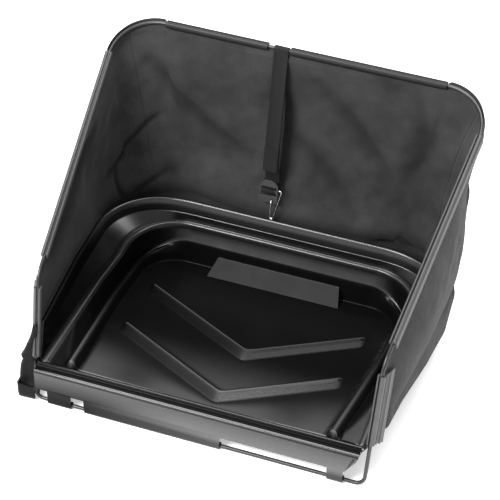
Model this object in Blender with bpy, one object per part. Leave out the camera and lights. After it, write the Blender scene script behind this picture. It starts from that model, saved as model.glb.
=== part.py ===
"""Grass collection bag for a hand cylinder mower, as separate real pieces.

A moulded tray, a bent wire frame, six clip profiles that hold three cloth panels to the wire,
and a webbing strap with a ladder-lock buckle and a wire hook. Metres, +Z up, mouth towards -Y.
"""
import math

import bmesh
import bpy
import numpy as np
from mathutils import Vector

# Wire frame: widths are between wire centres, heights and depths from the middle of the foot bar.
FOOT_WIDTH = 0.440
KINK_WIDTH = 0.450
KINK_BACK = 0.043
KINK_HEIGHT = 0.168
TOP_WIDTH = 0.508
TOP_BACK = 0.397
TOP_HEIGHT = 0.321
WIRE_RADIUS = 0.0025
FOOT_BEND = 0.012
KINK_BEND = 0.035
TOP_BEND = 0.058

# Tray
WALL = 0.0020
FLOOR_FRONT_HEIGHT = 0.0543
FLOOR_FALL = 0.17
FLOOR_HALF_FRONT = 0.164
FLOOR_HALF_REAR = 0.173
FLOOR_REAR = 0.300
TRAY_REAR_CORNER = 0.045
TRAY_START = 0.010
RIM_HEIGHT = 0.082
SKIRT_FRONT = 0.066
SKIRT_LEVEL_TO = 0.090
SKIRT_FALL = 0.20
BEAD_HEIGHT = 0.052
SIDE_RIB_HEIGHT = 0.013
CHEVRON_DEPTH = 0.094
CHEVRON_APEX_X = 0.0166
CHEVRON_HALF = 0.152
CHEVRON_FIRST = 0.0224
CHEVRON_PITCH = 0.096
CHEVRON_HEIGHT = 0.0062
CHEVRON_FACE = 0.016
CHEVRON_CREST = 0.004
GRIP_HALF_BOTTOM = 0.093
GRIP_HALF_TOP = 0.086
GRIP_RISE = 0.0165
TAB_OUTER = 0.0048

# Clip profiles, cloth, strap
CLIP_OUTER = 0.0054
CLIP_FIT = 0.0003
CLIP_FLANGE = 0.0125
CLIP_SHEET = 0.0014
CLOTH = 0.0012
CLOTH_SAG = 0.012
BACK_SAG = 0.021
BACK_FULLNESS = 0.005
CORNER_FULLNESS = 0.022
CORNER_SPREAD = 0.110
SEAM_GAP = 0.0003
STRAP_WIDTH = 0.020
STRAP_THICK = 0.0014
STRAP_X = -0.030
STRAP_FOOT_HEIGHT = 0.127
STRAP_LENGTH = TOP_HEIGHT - STRAP_FOOT_HEIGHT
STRAP_LEAN = 0.235
BUCKLE_WIDTH = 0.026
BUCKLE_HEIGHT = 0.029
BUCKLE_THICK = 0.0028
BAR_LOOP = 0.00235
END_BAR = 0.0020
HOOK_RADIUS = 0.0011
HOOK_ACROSS = 0.0051
HOOK_LENGTH = 0.0228
HOOK_BEND = 0.0025
HOOK_ARM = 0.0385
HOOK_SPREAD = 0.0185

SIDES = (-1, 1)


def clear_scene():
    for item in list(bpy.data.objects):
        bpy.data.objects.remove(item, do_unlink=True)


def material(name, colour, roughness, metallic=0.0):
    made = bpy.data.materials.new(name)
    made.use_nodes = True
    shader = made.node_tree.nodes["Principled BSDF"]
    shader.inputs["Base Color"].default_value = (*colour, 1.0)
    shader.inputs["Roughness"].default_value = roughness
    shader.inputs["Metallic"].default_value = metallic
    return made


def add_object(name, verts, faces, look):
    mesh = bpy.data.meshes.new(name)
    mesh.from_pydata([tuple(v) for v in verts], [], [tuple(f) for f in faces])
    shell = bmesh.new()
    shell.from_mesh(mesh)
    bmesh.ops.remove_doubles(shell, verts=shell.verts, dist=1e-6)
    bmesh.ops.recalc_face_normals(shell, faces=shell.faces)
    if shell.calc_volume() < 0:
        bmesh.ops.reverse_faces(shell, faces=shell.faces)
    shell.to_mesh(mesh)
    shell.free()
    mesh.update()
    item = bpy.data.objects.new(name, mesh)
    bpy.context.collection.objects.link(item)
    if look is not None:
        item.data.materials.append(look)
    return item


def unit(v):
    v = np.asarray(v, float)
    return v / np.linalg.norm(v)


def fillet_path(points, radii, closed, steps):
    """Polyline with each corner replaced by an arc tangent to both sides."""
    points = [np.asarray(p, float) for p in points]
    count = len(points)
    out = []
    for i, corner in enumerate(points):
        if not closed and i in (0, count - 1):
            out.append(corner)
            continue
        before = unit(points[i - 1] - corner)
        after = unit(points[(i + 1) % count] - corner)
        between = math.acos(float(np.clip(before @ after, -1, 1)))
        radius = radii[i]
        if radius <= 0 or between > math.pi - 0.01:
            out.append(corner)
            continue
        reach = radius / math.tan(between / 2)
        centre = corner + unit(before + after) * radius / math.sin(between / 2)
        first = corner + before * reach - centre
        last = corner + after * reach - centre
        sweep = math.pi - between
        for k in range(steps[i] + 1):
            s = k / steps[i]
            mix = math.sin((1 - s) * sweep) * first + math.sin(s * sweep) * last
            out.append(centre + mix / math.sin(sweep))
    return np.array(out)


def tangents(path, closed):
    ahead = np.roll(path, -1, axis=0) - path
    behind = path - np.roll(path, 1, axis=0)
    if not closed:
        ahead[-1] = behind[-1]
        behind[0] = ahead[0]
    along = ahead / np.linalg.norm(ahead, axis=1)[:, None]
    along += behind / np.linalg.norm(behind, axis=1)[:, None]
    return along / np.linalg.norm(along, axis=1)[:, None]


def tube(name, path, radius, look, closed=False, around=12):
    """Round bar along a path, with rings that do not twist."""
    path = np.asarray(path, float)
    along = tangents(path, closed)
    side = unit(np.cross(along[0], (0.3, 0.5, 0.81)))
    rings = []
    for point, direction in zip(path, along):
        side = unit(side - direction * (side @ direction))
        other = np.cross(direction, side)
        turn = np.linspace(0, 2 * math.pi, around, endpoint=False)[:, None]
        rings.append(point + radius * (np.cos(turn) * side + np.sin(turn) * other))
    verts = np.vstack(rings)
    count = len(rings)
    faces = []
    shift = 0
    if closed:
        gap = [np.linalg.norm(rings[0][k] - rings[-1][0]) for k in range(around)]
        shift = int(np.argmin(gap))
    for i in range(count if closed else count - 1):
        j = (i + 1) % count
        offset = shift if closed and j == 0 else 0
        for k in range(around):
            a = i * around + k
            b = i * around + (k + 1) % around
            c = j * around + (k + 1 + offset) % around
            d = j * around + (k + offset) % around
            faces.append((a, b, c, d))
    if not closed:
        faces.append(tuple(range(around)))
        faces.append(tuple((count - 1) * around + k for k in range(around)))
    return add_object(name, verts, faces, look)


def prism(name, outline, start, end, axis_u, axis_v, look):
    """Flat outline in the plane of two axes, extruded from start to end."""
    start, end = np.asarray(start, float), np.asarray(end, float)
    flat = [u * np.asarray(axis_u) + v * np.asarray(axis_v) for u, v in outline]
    count = len(flat)
    verts = [start + p for p in flat] + [end + p for p in flat]
    faces = [tuple(range(count)), tuple(range(2 * count - 1, count - 1, -1))]
    faces += [(k, (k + 1) % count, count + (k + 1) % count, count + k) for k in range(count)]
    return add_object(name, verts, faces, look)


def floor_height(y):
    return FLOOR_FRONT_HEIGHT - FLOOR_FALL * y


def skirt_foot(y):
    """Lower edge of the skirt along a side: level near the mouth, then falling to the rear."""
    return SKIRT_FRONT - SKIRT_FALL * max(0.0, y - SKIRT_LEVEL_TO)


def upright_y(z):
    """How far back the upright stands at a height above the foot bar."""
    return KINK_BACK * z / KINK_HEIGHT


def wire_point(side, t):
    """Point on the virtual side of the frame: t from 0 at the foot to 1 at the kink, 2 at the top."""
    foot = np.array([side * FOOT_WIDTH / 2, 0.0, 0.0])
    kink = np.array([side * KINK_WIDTH / 2, KINK_BACK, KINK_HEIGHT])
    top = np.array([side * TOP_WIDTH / 2, TOP_BACK, TOP_HEIGHT])
    return foot + (kink - foot) * t if t <= 1 else kink + (top - kink) * (t - 1)


def frame_corners():
    left = [wire_point(-1, t) for t in (0, 1, 2)]
    right = [wire_point(1, t) for t in (2, 1, 0)]
    return left + right


def make_wire(look):
    radii = (FOOT_BEND, KINK_BEND, TOP_BEND, TOP_BEND, KINK_BEND, FOOT_BEND)
    path = fillet_path(frame_corners(), radii, True, (6, 5, 12, 12, 5, 6))
    return tube("wire_frame", path, WIRE_RADIUS, look, closed=True, around=12)


def tray_section(y_foot, front_share):
    """Section from the floor edge to the foot of the skirt: distance out, height, level group."""
    floor = floor_height(y_foot)
    rib = SIDE_RIB_HEIGHT * (1 - front_share) + 0.0015 * front_share
    wall_run = min(0.0215, 1.15 * max(0.0, BEAD_HEIGHT - 0.0018 - floor))
    return [
        (0.000, floor), (0.0075, floor + rib), (0.0105, floor + rib + 0.0003),
        (0.0145, floor + 0.6 * rib), (0.0175, floor + 0.0010),
        (0.0195, floor + 0.0008), (0.0200 + wall_run, BEAD_HEIGHT - 0.0018),
        (0.0440, BEAD_HEIGHT - 0.0012), (0.0472, BEAD_HEIGHT), (0.0500, BEAD_HEIGHT - 0.0006),
        (0.0540, BEAD_HEIGHT + 0.0016), (0.0570, BEAD_HEIGHT + 0.0140),
        (0.0585, RIM_HEIGHT - 0.0024), (0.0605, RIM_HEIGHT), (0.0640, RIM_HEIGHT),
        (0.0660, RIM_HEIGHT - 0.0024), (0.0680, skirt_foot(y_foot)),
    ]


def rear_section():
    """The same section at the rear, where the skirt stands level with the tabs of the foot bar."""
    floor = floor_height(FLOOR_REAR)
    return [
        (0.000, floor), (0.0045, floor + 0.010), (0.0070, floor + 0.018), (0.0090, floor + 0.024),
        (0.0110, floor + 0.029), (0.0130, floor + 0.033), (0.0190, BEAD_HEIGHT - 0.010),
        (0.0220, BEAD_HEIGHT - 0.0025), (0.0240, BEAD_HEIGHT), (0.0255, BEAD_HEIGHT - 0.0006),
        (0.0275, BEAD_HEIGHT + 0.0016), (0.0290, BEAD_HEIGHT + 0.0140),
        (0.0305, RIM_HEIGHT - 0.0024), (0.0325, RIM_HEIGHT), (0.0360, RIM_HEIGHT),
        (0.0380, RIM_HEIGHT - 0.0024), (0.0400, -TAB_OUTER),
    ]


def tray_stations():
    """Places round the floor from front left to front right: foot point, outward, blend to rear."""
    corner = TRAY_REAR_CORNER
    half = FLOOR_HALF_REAR
    ys = [TRAY_START, 0.022, 0.040, 0.080, 0.130, 0.190, FLOOR_REAR - corner]
    left = []
    for y in ys:
        share = (y - TRAY_START) / (FLOOR_REAR - corner - TRAY_START)
        x = FLOOR_HALF_FRONT + (half - FLOOR_HALF_FRONT) * share
        start = max(0.0, 1 - (y - TRAY_START) / 0.028)
        left.append((np.array([-x, y]), np.array([-1.0, 0.0]), 0.0, start))
    arc = []
    for k in range(1, 9):
        turn = math.pi / 2 * k / 8
        foot = np.array([-half + corner - corner * math.cos(turn), FLOOR_REAR - corner + corner * math.sin(turn)])
        arc.append((foot, np.array([-math.cos(turn), math.sin(turn)]), k / 8, 0.0))
    middle = [(np.array([0.0, FLOOR_REAR]), np.array([0.0, 1.0]), 1.0, 0.0)]
    half_way = left + arc
    mirrored = [(p * (-1, 1), n * (-1, 1), b, s) for p, n, b, s in reversed(half_way)]
    return half_way + middle + mirrored


def tray_loops():
    """Inner and outer skin of the tray wall as arrays: station, section point, xyz."""
    rear = np.array(rear_section())
    skin = []
    for foot, out, blend, start in tray_stations():
        side = np.array(tray_section(foot[1], start))
        part = (1 - blend) * side + blend * rear
        line = [(foot[0] + out[0] * d, foot[1] + out[1] * d, z) for d, z in part]
        skin.append(line)
    skin = np.array(skin)
    # The rim starts behind the clip on the upright, the lower wall starts at the front lip.
    for end in (0, -1):
        for k in range(9, skin.shape[1]):
            height = max(BEAD_HEIGHT, skin[end, k, 2])
            skin[end, k, 1] = upright_y(height) + CLIP_FLANGE + 0.016
        skin[end, 16, 2] = skirt_foot(skin[end, 16, 1])
        near = 1 if end == 0 else -2
        for k in range(9, skin.shape[1]):
            skin[near, k, 1] = max(skin[near, k, 1], skin[end, k, 1] + 0.003)
        third = 2 if end == 0 else -3
        for k in range(9, skin.shape[1]):
            skin[third, k, 1] = max(skin[third, k, 1], skin[near, k, 1] + 0.003)
    ahead = np.gradient(skin, axis=1)
    along = np.gradient(skin, axis=0)
    normal = np.cross(along, ahead)
    normal /= np.linalg.norm(normal, axis=2)[:, :, None]
    below = skin + normal * WALL
    if below[10, 1, 2] > skin[10, 1, 2]:
        below = skin - normal * WALL
    below[:, 0, :] = skin[:, 0, :] + (0, 0, -WALL)
    below[:, -1, 2] = skin[:, -1, 2]
    return skin, below


def grid_shell(top, bottom, cap_rows, cap_ends):
    rows, cols = top.shape[:2]
    verts = np.vstack([top.reshape(-1, 3), bottom.reshape(-1, 3)])
    shift = rows * cols
    faces = []
    for i in range(rows - 1):
        for k in range(cols - 1):
            a, b = i * cols + k, i * cols + k + 1
            c, d = (i + 1) * cols + k + 1, (i + 1) * cols + k
            faces.append((a, b, c, d))
            faces.append((shift + d, shift + c, shift + b, shift + a))
    if cap_ends:
        for i in (0, rows - 1):
            for k in range(cols - 1):
                a, b = i * cols + k, i * cols + k + 1
                faces.append((a, b, shift + b, shift + a))
    for k in cap_rows:
        for i in range(rows - 1):
            a, b = i * cols + k, (i + 1) * cols + k
            faces.append((a, b, shift + b, shift + a))
    return verts, faces, shift


def make_pan(look):
    skin, below = tray_loops()
    rows, cols = skin.shape[:2]
    verts, faces, shift = grid_shell(skin, below, (cols - 1,), True)
    faces.append(tuple(i * cols for i in range(rows)))
    faces.append(tuple(shift + i * cols for i in reversed(range(rows))))
    faces.append((0, (rows - 1) * cols, shift + (rows - 1) * cols, shift))
    return add_object("tray", verts, faces, look)


def lip_half_width():
    return FOOT_WIDTH / 2 - WIRE_RADIUS - 0.0045


def make_lip():
    """Front lip: inner bead, band, outer bead and the apron that hangs in front of the wire."""
    f = floor_height
    drop = 0.0185
    outline = [
        (0.0200, f(0.0200) - 0.0011), (0.0150, f(0.0150) - 0.0010), (0.0125, 0.0533),
        (0.0100, 0.0552), (0.0075, 0.0553), (0.0050, 0.0526), (0.0015, 0.0512), (-0.0010, 0.0517),
        (-0.0035, 0.0512), (-0.0056, 0.0488), (-0.0058, 0.0470), (-0.0048, 0.0458),
        (-0.0048, drop), (-0.0026, drop), (-0.0026, 0.0440), (0.0020, 0.0478),
        (0.0120, f(0.0120) - 0.0035), (0.0200, f(0.0200) - 0.0030),
    ]
    half = lip_half_width()
    return prism("lip", outline, (-half, 0, 0), (half, 0, 0), (0, 1, 0), (0, 0, 1), None)


def make_tab(name, x_from, x_to):
    """Tab that runs down from the apron and wraps under the foot bar."""
    inner = WIRE_RADIUS + CLIP_FIT
    outer = TAB_OUTER
    outline = [(-outer, 0.022), (-outer, 0.0)]
    for k in range(1, 9):
        turn = math.pi + 1.25 * math.pi * k / 8
        outline.append((outer * math.cos(turn), outer * math.sin(turn)))
    for k in range(8, -1, -1):
        turn = math.pi + 1.25 * math.pi * k / 8
        outline.append((inner * math.cos(turn), inner * math.sin(turn)))
    outline.append((-0.0026, 0.0030))
    outline.append((-0.0026, 0.022))
    return prism(name, outline, (x_from, 0, 0), (x_to, 0, 0), (0, 1, 0), (0, 0, 1), None)


def make_apron_return(side):
    """Short wall at each end of the apron that turns back under the tray."""
    half = lip_half_width()
    outline = [(-0.0045, 0.050), (-0.0045, 0.034), (-0.001, 0.026), (0.006, 0.030),
               (0.014, 0.040), (0.018, 0.0482), (0.014, 0.0492)]
    inner = side * (half - WALL - 0.0005)
    outer = side * (half - 0.0005)
    return prism("return", outline, (inner, 0, 0), (outer, 0, 0), (0, 1, 0), (0, 0, 1), None)


def make_chevron(first_y):
    """Raised V rib lying on the sloping floor, with its point towards the mouth."""
    half = CHEVRON_HALF
    apex = CHEVRON_APEX_X
    verts = []
    back = CHEVRON_FACE + CHEVRON_CREST + 0.006
    for x, y in ((-half, first_y + CHEVRON_DEPTH), (apex, first_y), (half, first_y + CHEVRON_DEPTH)):
        for run, rise in ((0.0, -0.0012), (0.0012, 0.0012), (CHEVRON_FACE, CHEVRON_HEIGHT),
                          (CHEVRON_FACE + CHEVRON_CREST, CHEVRON_HEIGHT), (back, -0.0012)):
            verts.append((x, y + run, floor_height(y + run) + rise))
    count = 5
    faces = [tuple(range(count)), tuple(range(3 * count - 1, 2 * count - 1, -1))]
    for i in range(2):
        for k in range(count):
            a, b = i * count + k, i * count + (k + 1) % count
            faces.append((a, b, b + count, a + count))
    return add_object("chevron", verts, faces, None)


def make_grip():
    """Sloping facet at the foot of the rear wall."""
    near = FLOOR_REAR - 0.020
    far = FLOOR_REAR + 0.0055
    low = floor_height(near) - 0.0012
    verts = []
    for half, y, z in ((GRIP_HALF_BOTTOM, near, floor_height(near) + 0.0004),
                       (GRIP_HALF_TOP, far, floor_height(FLOOR_REAR) + GRIP_RISE),
                       (GRIP_HALF_TOP, far + 0.001, floor_height(FLOOR_REAR) - 0.0012),
                       (GRIP_HALF_BOTTOM, near, low)):
        verts.append((-half, y, z))
        verts.append((half, y, z))
    faces = [(0, 1, 3, 2), (2, 3, 5, 4), (4, 5, 7, 6), (6, 7, 1, 0), (0, 2, 4, 6), (1, 7, 5, 3)]
    return add_object("grip", verts, faces, None)


def combine(target, tools, operation):
    for tool in tools:
        step = target.modifiers.new(tool.name, "BOOLEAN")
        step.operation = operation
        step.solver = "EXACT"
        step.object = tool
        tool.hide_render = True
        tool.display_type = "WIRE"


def make_tray(look):
    tray = make_pan(look)
    half = lip_half_width()
    tabs = ((-half + 0.012, -half + 0.044), (-half + 0.062, 0.032), (half - 0.040, half - 0.0195))
    tools = [make_lip()]
    tools += [make_tab("tab", a, b) for a, b in tabs]
    tools += [make_apron_return(side) for side in SIDES]
    tools += [make_chevron(CHEVRON_FIRST + i * CHEVRON_PITCH) for i in range(2)]
    tools.append(make_grip())
    combine(tray, tools, "UNION")
    return tray


def clip_outline():
    """C channel open away from the cloth, with a flat flange that is sewn to the cloth."""
    inner = WIRE_RADIUS + CLIP_FIT
    half_sheet = CLIP_SHEET / 2
    start = math.asin(half_sheet / CLIP_OUTER)
    mouth = math.radians(142)
    outline = [(CLIP_FLANGE, half_sheet)]
    for k in range(9):
        turn = start + (mouth - start) * k / 8
        outline.append((CLIP_OUTER * math.cos(turn), CLIP_OUTER * math.sin(turn)))
    for k in range(17):
        turn = mouth - 2 * mouth * k / 16
        outline.append((inner * math.cos(turn), inner * math.sin(turn)))
    for k in range(9):
        turn = -mouth + (mouth - start) * k / 8
        outline.append((CLIP_OUTER * math.cos(turn), CLIP_OUTER * math.sin(turn)))
    outline.append((CLIP_FLANGE, -half_sheet))
    return outline


def side_axes(side, along):
    """Flange direction and outward direction across a side wire."""
    out = np.array([side, 0.0, 0.0])
    out = unit(out - along * (out @ along))
    back = unit(np.cross(along, out) * side)
    if back[1] < 0:
        back = -back
    flange = unit(0.35 * out + back)
    outward = unit(out - flange * (out @ flange))
    return flange, outward


def top_axes():
    """Flange direction and outward direction across the top bar: down the back panel."""
    down = unit((0.0, -0.26, -1.0))
    return down, unit((0.0, 1.0, -0.26))


def make_clips(look):
    outline = clip_outline()
    for side, word in zip(SIDES, ("left", "right")):
        for t_from, t_to, piece in ((0.31, 0.90, "upright"), (1.075, 1.845, "slant")):
            start, end = wire_point(side, t_from), wire_point(side, t_to)
            flange, outward = side_axes(side, unit(end - start))
            prism("clip_" + piece + "_" + word, outline, start, end, flange, outward, look)
    flange, outward = top_axes()
    reach = TOP_WIDTH / 2 - TOP_BEND - 0.006
    strap_room = STRAP_WIDTH / 2 + 0.0012
    spans = (("clip_top_left", -reach, STRAP_X - strap_room - 0.008),
             ("clip_top_right", STRAP_X + strap_room, reach))
    for name, x_from, x_to in spans:
        prism(name, outline, (x_from, TOP_BACK, TOP_HEIGHT), (x_to, TOP_BACK, TOP_HEIGHT),
              flange, outward, look)


def cloth_frames():
    """Stations along the wire from the left clip foot to the right: point, flange, outward."""
    count_up, count_slant, count_arc, count_top = 4, 12, 8, 12
    stations = []
    arc_share = TOP_BEND / np.linalg.norm(wire_point(1, 2) - wire_point(1, 1))
    for t in np.linspace(0.31, 0.93, count_up):
        stations.append(("side", wire_point(-1, t)))
    for t in np.linspace(1.06, 2 - 1.02 * arc_share, count_slant):
        stations.append(("side", wire_point(-1, t)))
    corner = [wire_point(-1, 1), wire_point(-1, 2), wire_point(1, 2)]
    arc = fillet_path(corner, (0, TOP_BEND, 0), False, (0, count_arc, 0))[1:-1]
    for k, point in enumerate(arc[1:-1]):
        stations.append(("arc%g" % ((k + 1) / count_arc), point))
    reach = TOP_WIDTH / 2 - TOP_BEND
    for x in np.linspace(-reach, 0.0, count_top // 2 + 1):
        stations.append(("top", np.array([x, TOP_BACK, TOP_HEIGHT])))
    along = unit(wire_point(-1, 2) - wire_point(-1, 1))
    up = unit(wire_point(-1, 1) - wire_point(-1, 0))
    frames = []
    for kind, point in stations:
        if kind == "side":
            direction = up if point[2] < KINK_HEIGHT else along
            flange, outward = side_axes(-1, direction)
        elif kind == "top":
            flange, outward = top_axes()
        else:
            share = float(kind[3:])
            a, b = side_axes(-1, along), top_axes()
            flange = unit((1 - share) * a[0] + share * b[0])
            outward = (1 - share) * a[1] + share * b[1]
            outward = unit(outward - flange * (outward @ flange))
        frames.append((point, flange, outward))
    mirror = np.array([-1.0, 1.0, 1.0])
    right = [(p * mirror, f * mirror, o * mirror) for p, f, o in reversed(frames[:-1])]
    seam = count_up + count_slant + count_arc // 2 - 1
    return frames + right, seam


def skirt_track(share):
    """Outside of the tray skirt on the left half: share 0 at the front, 1 at the middle rear."""
    skin, _ = tray_loops()
    half = (skin.shape[0] - 1) // 2
    top = skin[:half + 1, 15]
    foot = skin[:half + 1, 16]
    step = np.linalg.norm(np.diff(foot, axis=0), axis=1)
    run = np.concatenate([[0], np.cumsum(step)]) / step.sum()
    rim = np.array([np.interp(share, run, top[:, k]) for k in range(3)])
    low = np.array([np.interp(share, run, foot[:, k]) for k in range(3)])
    return rim, low


def corner_share():
    """Share of the skirt track at the middle of the rear corner."""
    skin, _ = tray_loops()
    half = (skin.shape[0] - 1) // 2
    foot = skin[:half + 1, 16]
    run = np.concatenate([[0], np.cumsum(np.linalg.norm(np.diff(foot, axis=0), axis=1))])
    return run[11] / run[-1]


def cloth_grid():
    frames, seam = cloth_frames()
    count = len(frames)
    half = (count - 1) // 2
    points = np.array([f[0] for f in frames[:half + 1]])
    run = np.concatenate([[0], np.cumsum(np.linalg.norm(np.diff(points, axis=0), axis=1))])
    share_seam = corner_share()
    rows = []
    gap = 0.0012
    for i in range(half + 1):
        point, flange, outward = frames[i]
        if i <= seam:
            share = share_seam * run[i] / run[seam]
        else:
            share = share_seam + (1 - share_seam) * (run[i] - run[seam]) / (run[-1] - run[seam])
        rim, low = skirt_track(share)
        corner_x, corner_y = -(FLOOR_HALF_REAR - TRAY_REAR_CORNER), FLOOR_REAR - TRAY_REAR_CORNER
        direction = np.array([min(0.0, low[0] - corner_x), max(0.0, low[1] - corner_y)])
        if low[1] <= corner_y:
            direction = np.array([-1.0, 0.0])
        if low[0] >= corner_x:
            direction = np.array([0.0, 1.0])
        direction = direction / np.linalg.norm(direction)
        push = np.array([direction[0], direction[1], 0.0])
        low = low + push * gap
        rim = rim + push * (gap + 0.0004)
        edge = point + flange * (CLIP_OUTER + 0.0009) + outward * (CLIP_SHEET / 2 + SEAM_GAP)
        past = point + flange * (CLIP_FLANGE + 0.001) + outward * (CLIP_SHEET / 2 + SEAM_GAP)
        if edge[2] < RIM_HEIGHT + 0.02:
            share_down = (rim[2] - edge[2] + 0.02) / (rim[2] - low[2])
            rim = rim + (low - rim) * min(0.85, max(0.0, share_down)) + push * 0.0008
        slack = min(1.0, np.linalg.norm(rim - past) / 0.12)
        corner = math.exp(-((run[i] - run[seam]) / CORNER_SPREAD) ** 2) * slack
        fullness = BACK_FULLNESS * direction[1] ** 2 * slack
        line = [edge, past]
        for s, pull in ((0.25, -0.25), (0.5, 0.12), (0.75, 0.35)):
            sag = CLOTH_SAG * (1 + (BACK_SAG / CLOTH_SAG - 1) * direction[1] ** 2)
            bulge = sag * math.sin(math.pi * s) ** 0.7 * slack * (1 - corner)
            bulge += (CORNER_FULLNESS * pull + 0.002) * corner + fullness * s ** 2
            line.append(past + (rim - past) * s + push * bulge)
        for s, pull in ((0.0, 0.75), (0.5, 1.0), (1.0, 0.3)):
            line.append(rim + (low - rim) * s + push * (CORNER_FULLNESS * pull * corner + fullness * (1 - s)))
        rows.append(line)
    left = np.array(rows)
    right = left[::-1][1:] * np.array([-1.0, 1.0, 1.0])
    inner = np.concatenate([left, right])
    normal = np.cross(np.gradient(inner, axis=0), np.gradient(inner, axis=1))
    normal /= np.linalg.norm(normal, axis=2)[:, :, None]
    middle = inner.shape[0] // 2
    if normal[middle, 3, 1] < 0:
        normal = -normal
    outer = inner + normal * CLOTH
    return inner, outer, seam


def make_cloth(look):
    inner, outer, seam = cloth_grid()
    last = inner.shape[0] - 1
    spans = (("panel_left", 0, seam), ("panel_back", seam, last - seam),
             ("panel_right", last - seam, last))
    for name, first, final in spans:
        skins = []
        for grid in (inner, outer):
            part = grid[first:final + 1].copy()
            if first > 0:
                step = part[1] - part[0]
                part[0] += step * (SEAM_GAP / np.linalg.norm(step, axis=1))[:, None]
            if final < last:
                step = part[-2] - part[-1]
                part[-1] += step * (SEAM_GAP / np.linalg.norm(step, axis=1))[:, None]
            skins.append(part)
        cols = inner.shape[1]
        verts, faces, _ = grid_shell(skins[0], skins[1], (0, cols - 1), True)
        add_object(name, verts, faces, look)


def strap_axes():
    down = unit((0.0, -STRAP_LEAN, -1.0))
    return down, np.array([0.0, down[2], -down[1]])


def band(name, outer, inner, x_from, x_to, look):
    """Closed ring section extruded across the strap's width."""
    count = len(outer)
    verts = []
    for x in (x_from, x_to):
        verts += [(x, y, z) for y, z in outer] + [(x, y, z) for y, z in inner]
    faces = []
    for k in range(count):
        j = (k + 1) % count
        faces.append((k, j, count + j, count + k))
        faces.append((2 * count + k, 3 * count + k, 3 * count + j, 2 * count + j))
        faces.append((k, 2 * count + k, 2 * count + j, j))
        faces.append((count + k, count + j, 3 * count + j, 3 * count + k))
    return add_object(name, verts, faces, look)


def strap_places():
    """Wire centre, centre of the buckle's middle bar and the directions of the hanging strap."""
    down, front = strap_axes()
    wire = np.array([STRAP_X, TOP_BACK, TOP_HEIGHT])
    sheet = WIRE_RADIUS + CLIP_FIT + STRAP_THICK / 2
    loop = BAR_LOOP + STRAP_THICK / 2
    bar = wire + down * (STRAP_LENGTH + 0.4 * BUCKLE_HEIGHT) + front * (sheet - loop)
    return wire, bar, down, front


def make_strap(look):
    """Webbing that wraps the top bar, lies double and turns round the buckle's middle bar."""
    wire, bar, down, front = strap_places()
    sheet = WIRE_RADIUS + CLIP_FIT + STRAP_THICK / 2
    loop = BAR_LOOP + STRAP_THICK / 2
    drop = (bar - wire) @ down
    line = []
    for k in range(15):
        turn = math.radians(-250 * k / 14)
        line.append((sheet * math.sin(turn), sheet * math.cos(turn)))
    inside = sheet - STRAP_THICK - CLIP_FIT
    above = 0.4 * BUCKLE_HEIGHT + 0.002
    line += [(0.0095, inside), (0.030, inside), (drop - above - 0.016, inside)]
    line += [(drop - above, sheet - 2 * loop), (drop - 0.002, sheet - 2 * loop)]
    for k in range(9):
        turn = math.radians(180 - 180 * k / 8)
        line.append((drop + loop * math.sin(turn), sheet - loop + loop * math.cos(turn)))
    line.append((drop - 0.020, sheet))
    line.append((0.030, sheet))
    line = np.array(line)
    ahead = np.roll(line, -1, axis=0) - line
    behind = line - np.roll(line, 1, axis=0)
    along = ahead / np.linalg.norm(ahead, axis=1)[:, None] + behind / np.linalg.norm(behind, axis=1)[:, None]
    along /= np.linalg.norm(along, axis=1)[:, None]
    normal = np.stack([along[:, 1], -along[:, 0]], axis=1) * STRAP_THICK / 2
    skins = []
    for sign in (1, -1):
        flat = line + sign * normal
        skins.append([(wire + down * v + front * w)[1:] for v, w in flat])
    return band("strap", skins[0], skins[1], STRAP_X - STRAP_WIDTH / 2, STRAP_X + STRAP_WIDTH / 2, look)


def make_buckle(look):
    """Ladder-lock frame with rounded top: side rails joined by three bars across."""
    wire, bar, down, front = strap_places()
    across = np.array([1.0, 0.0, 0.0])
    half_w = BUCKLE_WIDTH / 2
    half_h = BUCKLE_HEIGHT / 2
    middle = bar + down * 0.1 * BUCKLE_HEIGHT
    outline = []
    bend = 0.008
    for cx, cy, first in ((half_w - bend, -half_h + bend, -90), (half_w - 0.002, half_h - 0.002, 0),
                          (-half_w + 0.002, half_h - 0.002, 90), (-half_w + bend, -half_h + bend, 180)):
        radius = bend if cy < 0 else 0.002
        for k in range(7):
            turn = math.radians(first + 15 * k)
            outline.append((cx + radius * math.cos(turn), cy + radius * math.sin(turn)))
    lift = front * BUCKLE_THICK / 2
    body = prism("buckle", outline, middle - lift, middle + lift, across, down, look)
    slot_w = STRAP_WIDTH / 2 + 0.0006
    near = 0.0015
    reach = BAR_LOOP + STRAP_THICK + 2 * CLIP_FIT
    holes = []
    bar_v = -0.1 * BUCKLE_HEIGHT
    for low, high in ((bar_v - reach, bar_v - near), (bar_v + near, bar_v + reach),
                      (half_h - END_BAR - 2 * HOOK_RADIUS - 0.0020, half_h - END_BAR)):
        box = [(-slot_w, low), (slot_w, low), (slot_w, high), (-slot_w, high)]
        holes.append(prism("slot", box, middle - 2 * lift, middle + 2 * lift, across, down, None))
    combine(body, holes, "DIFFERENCE")
    return body


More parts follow.
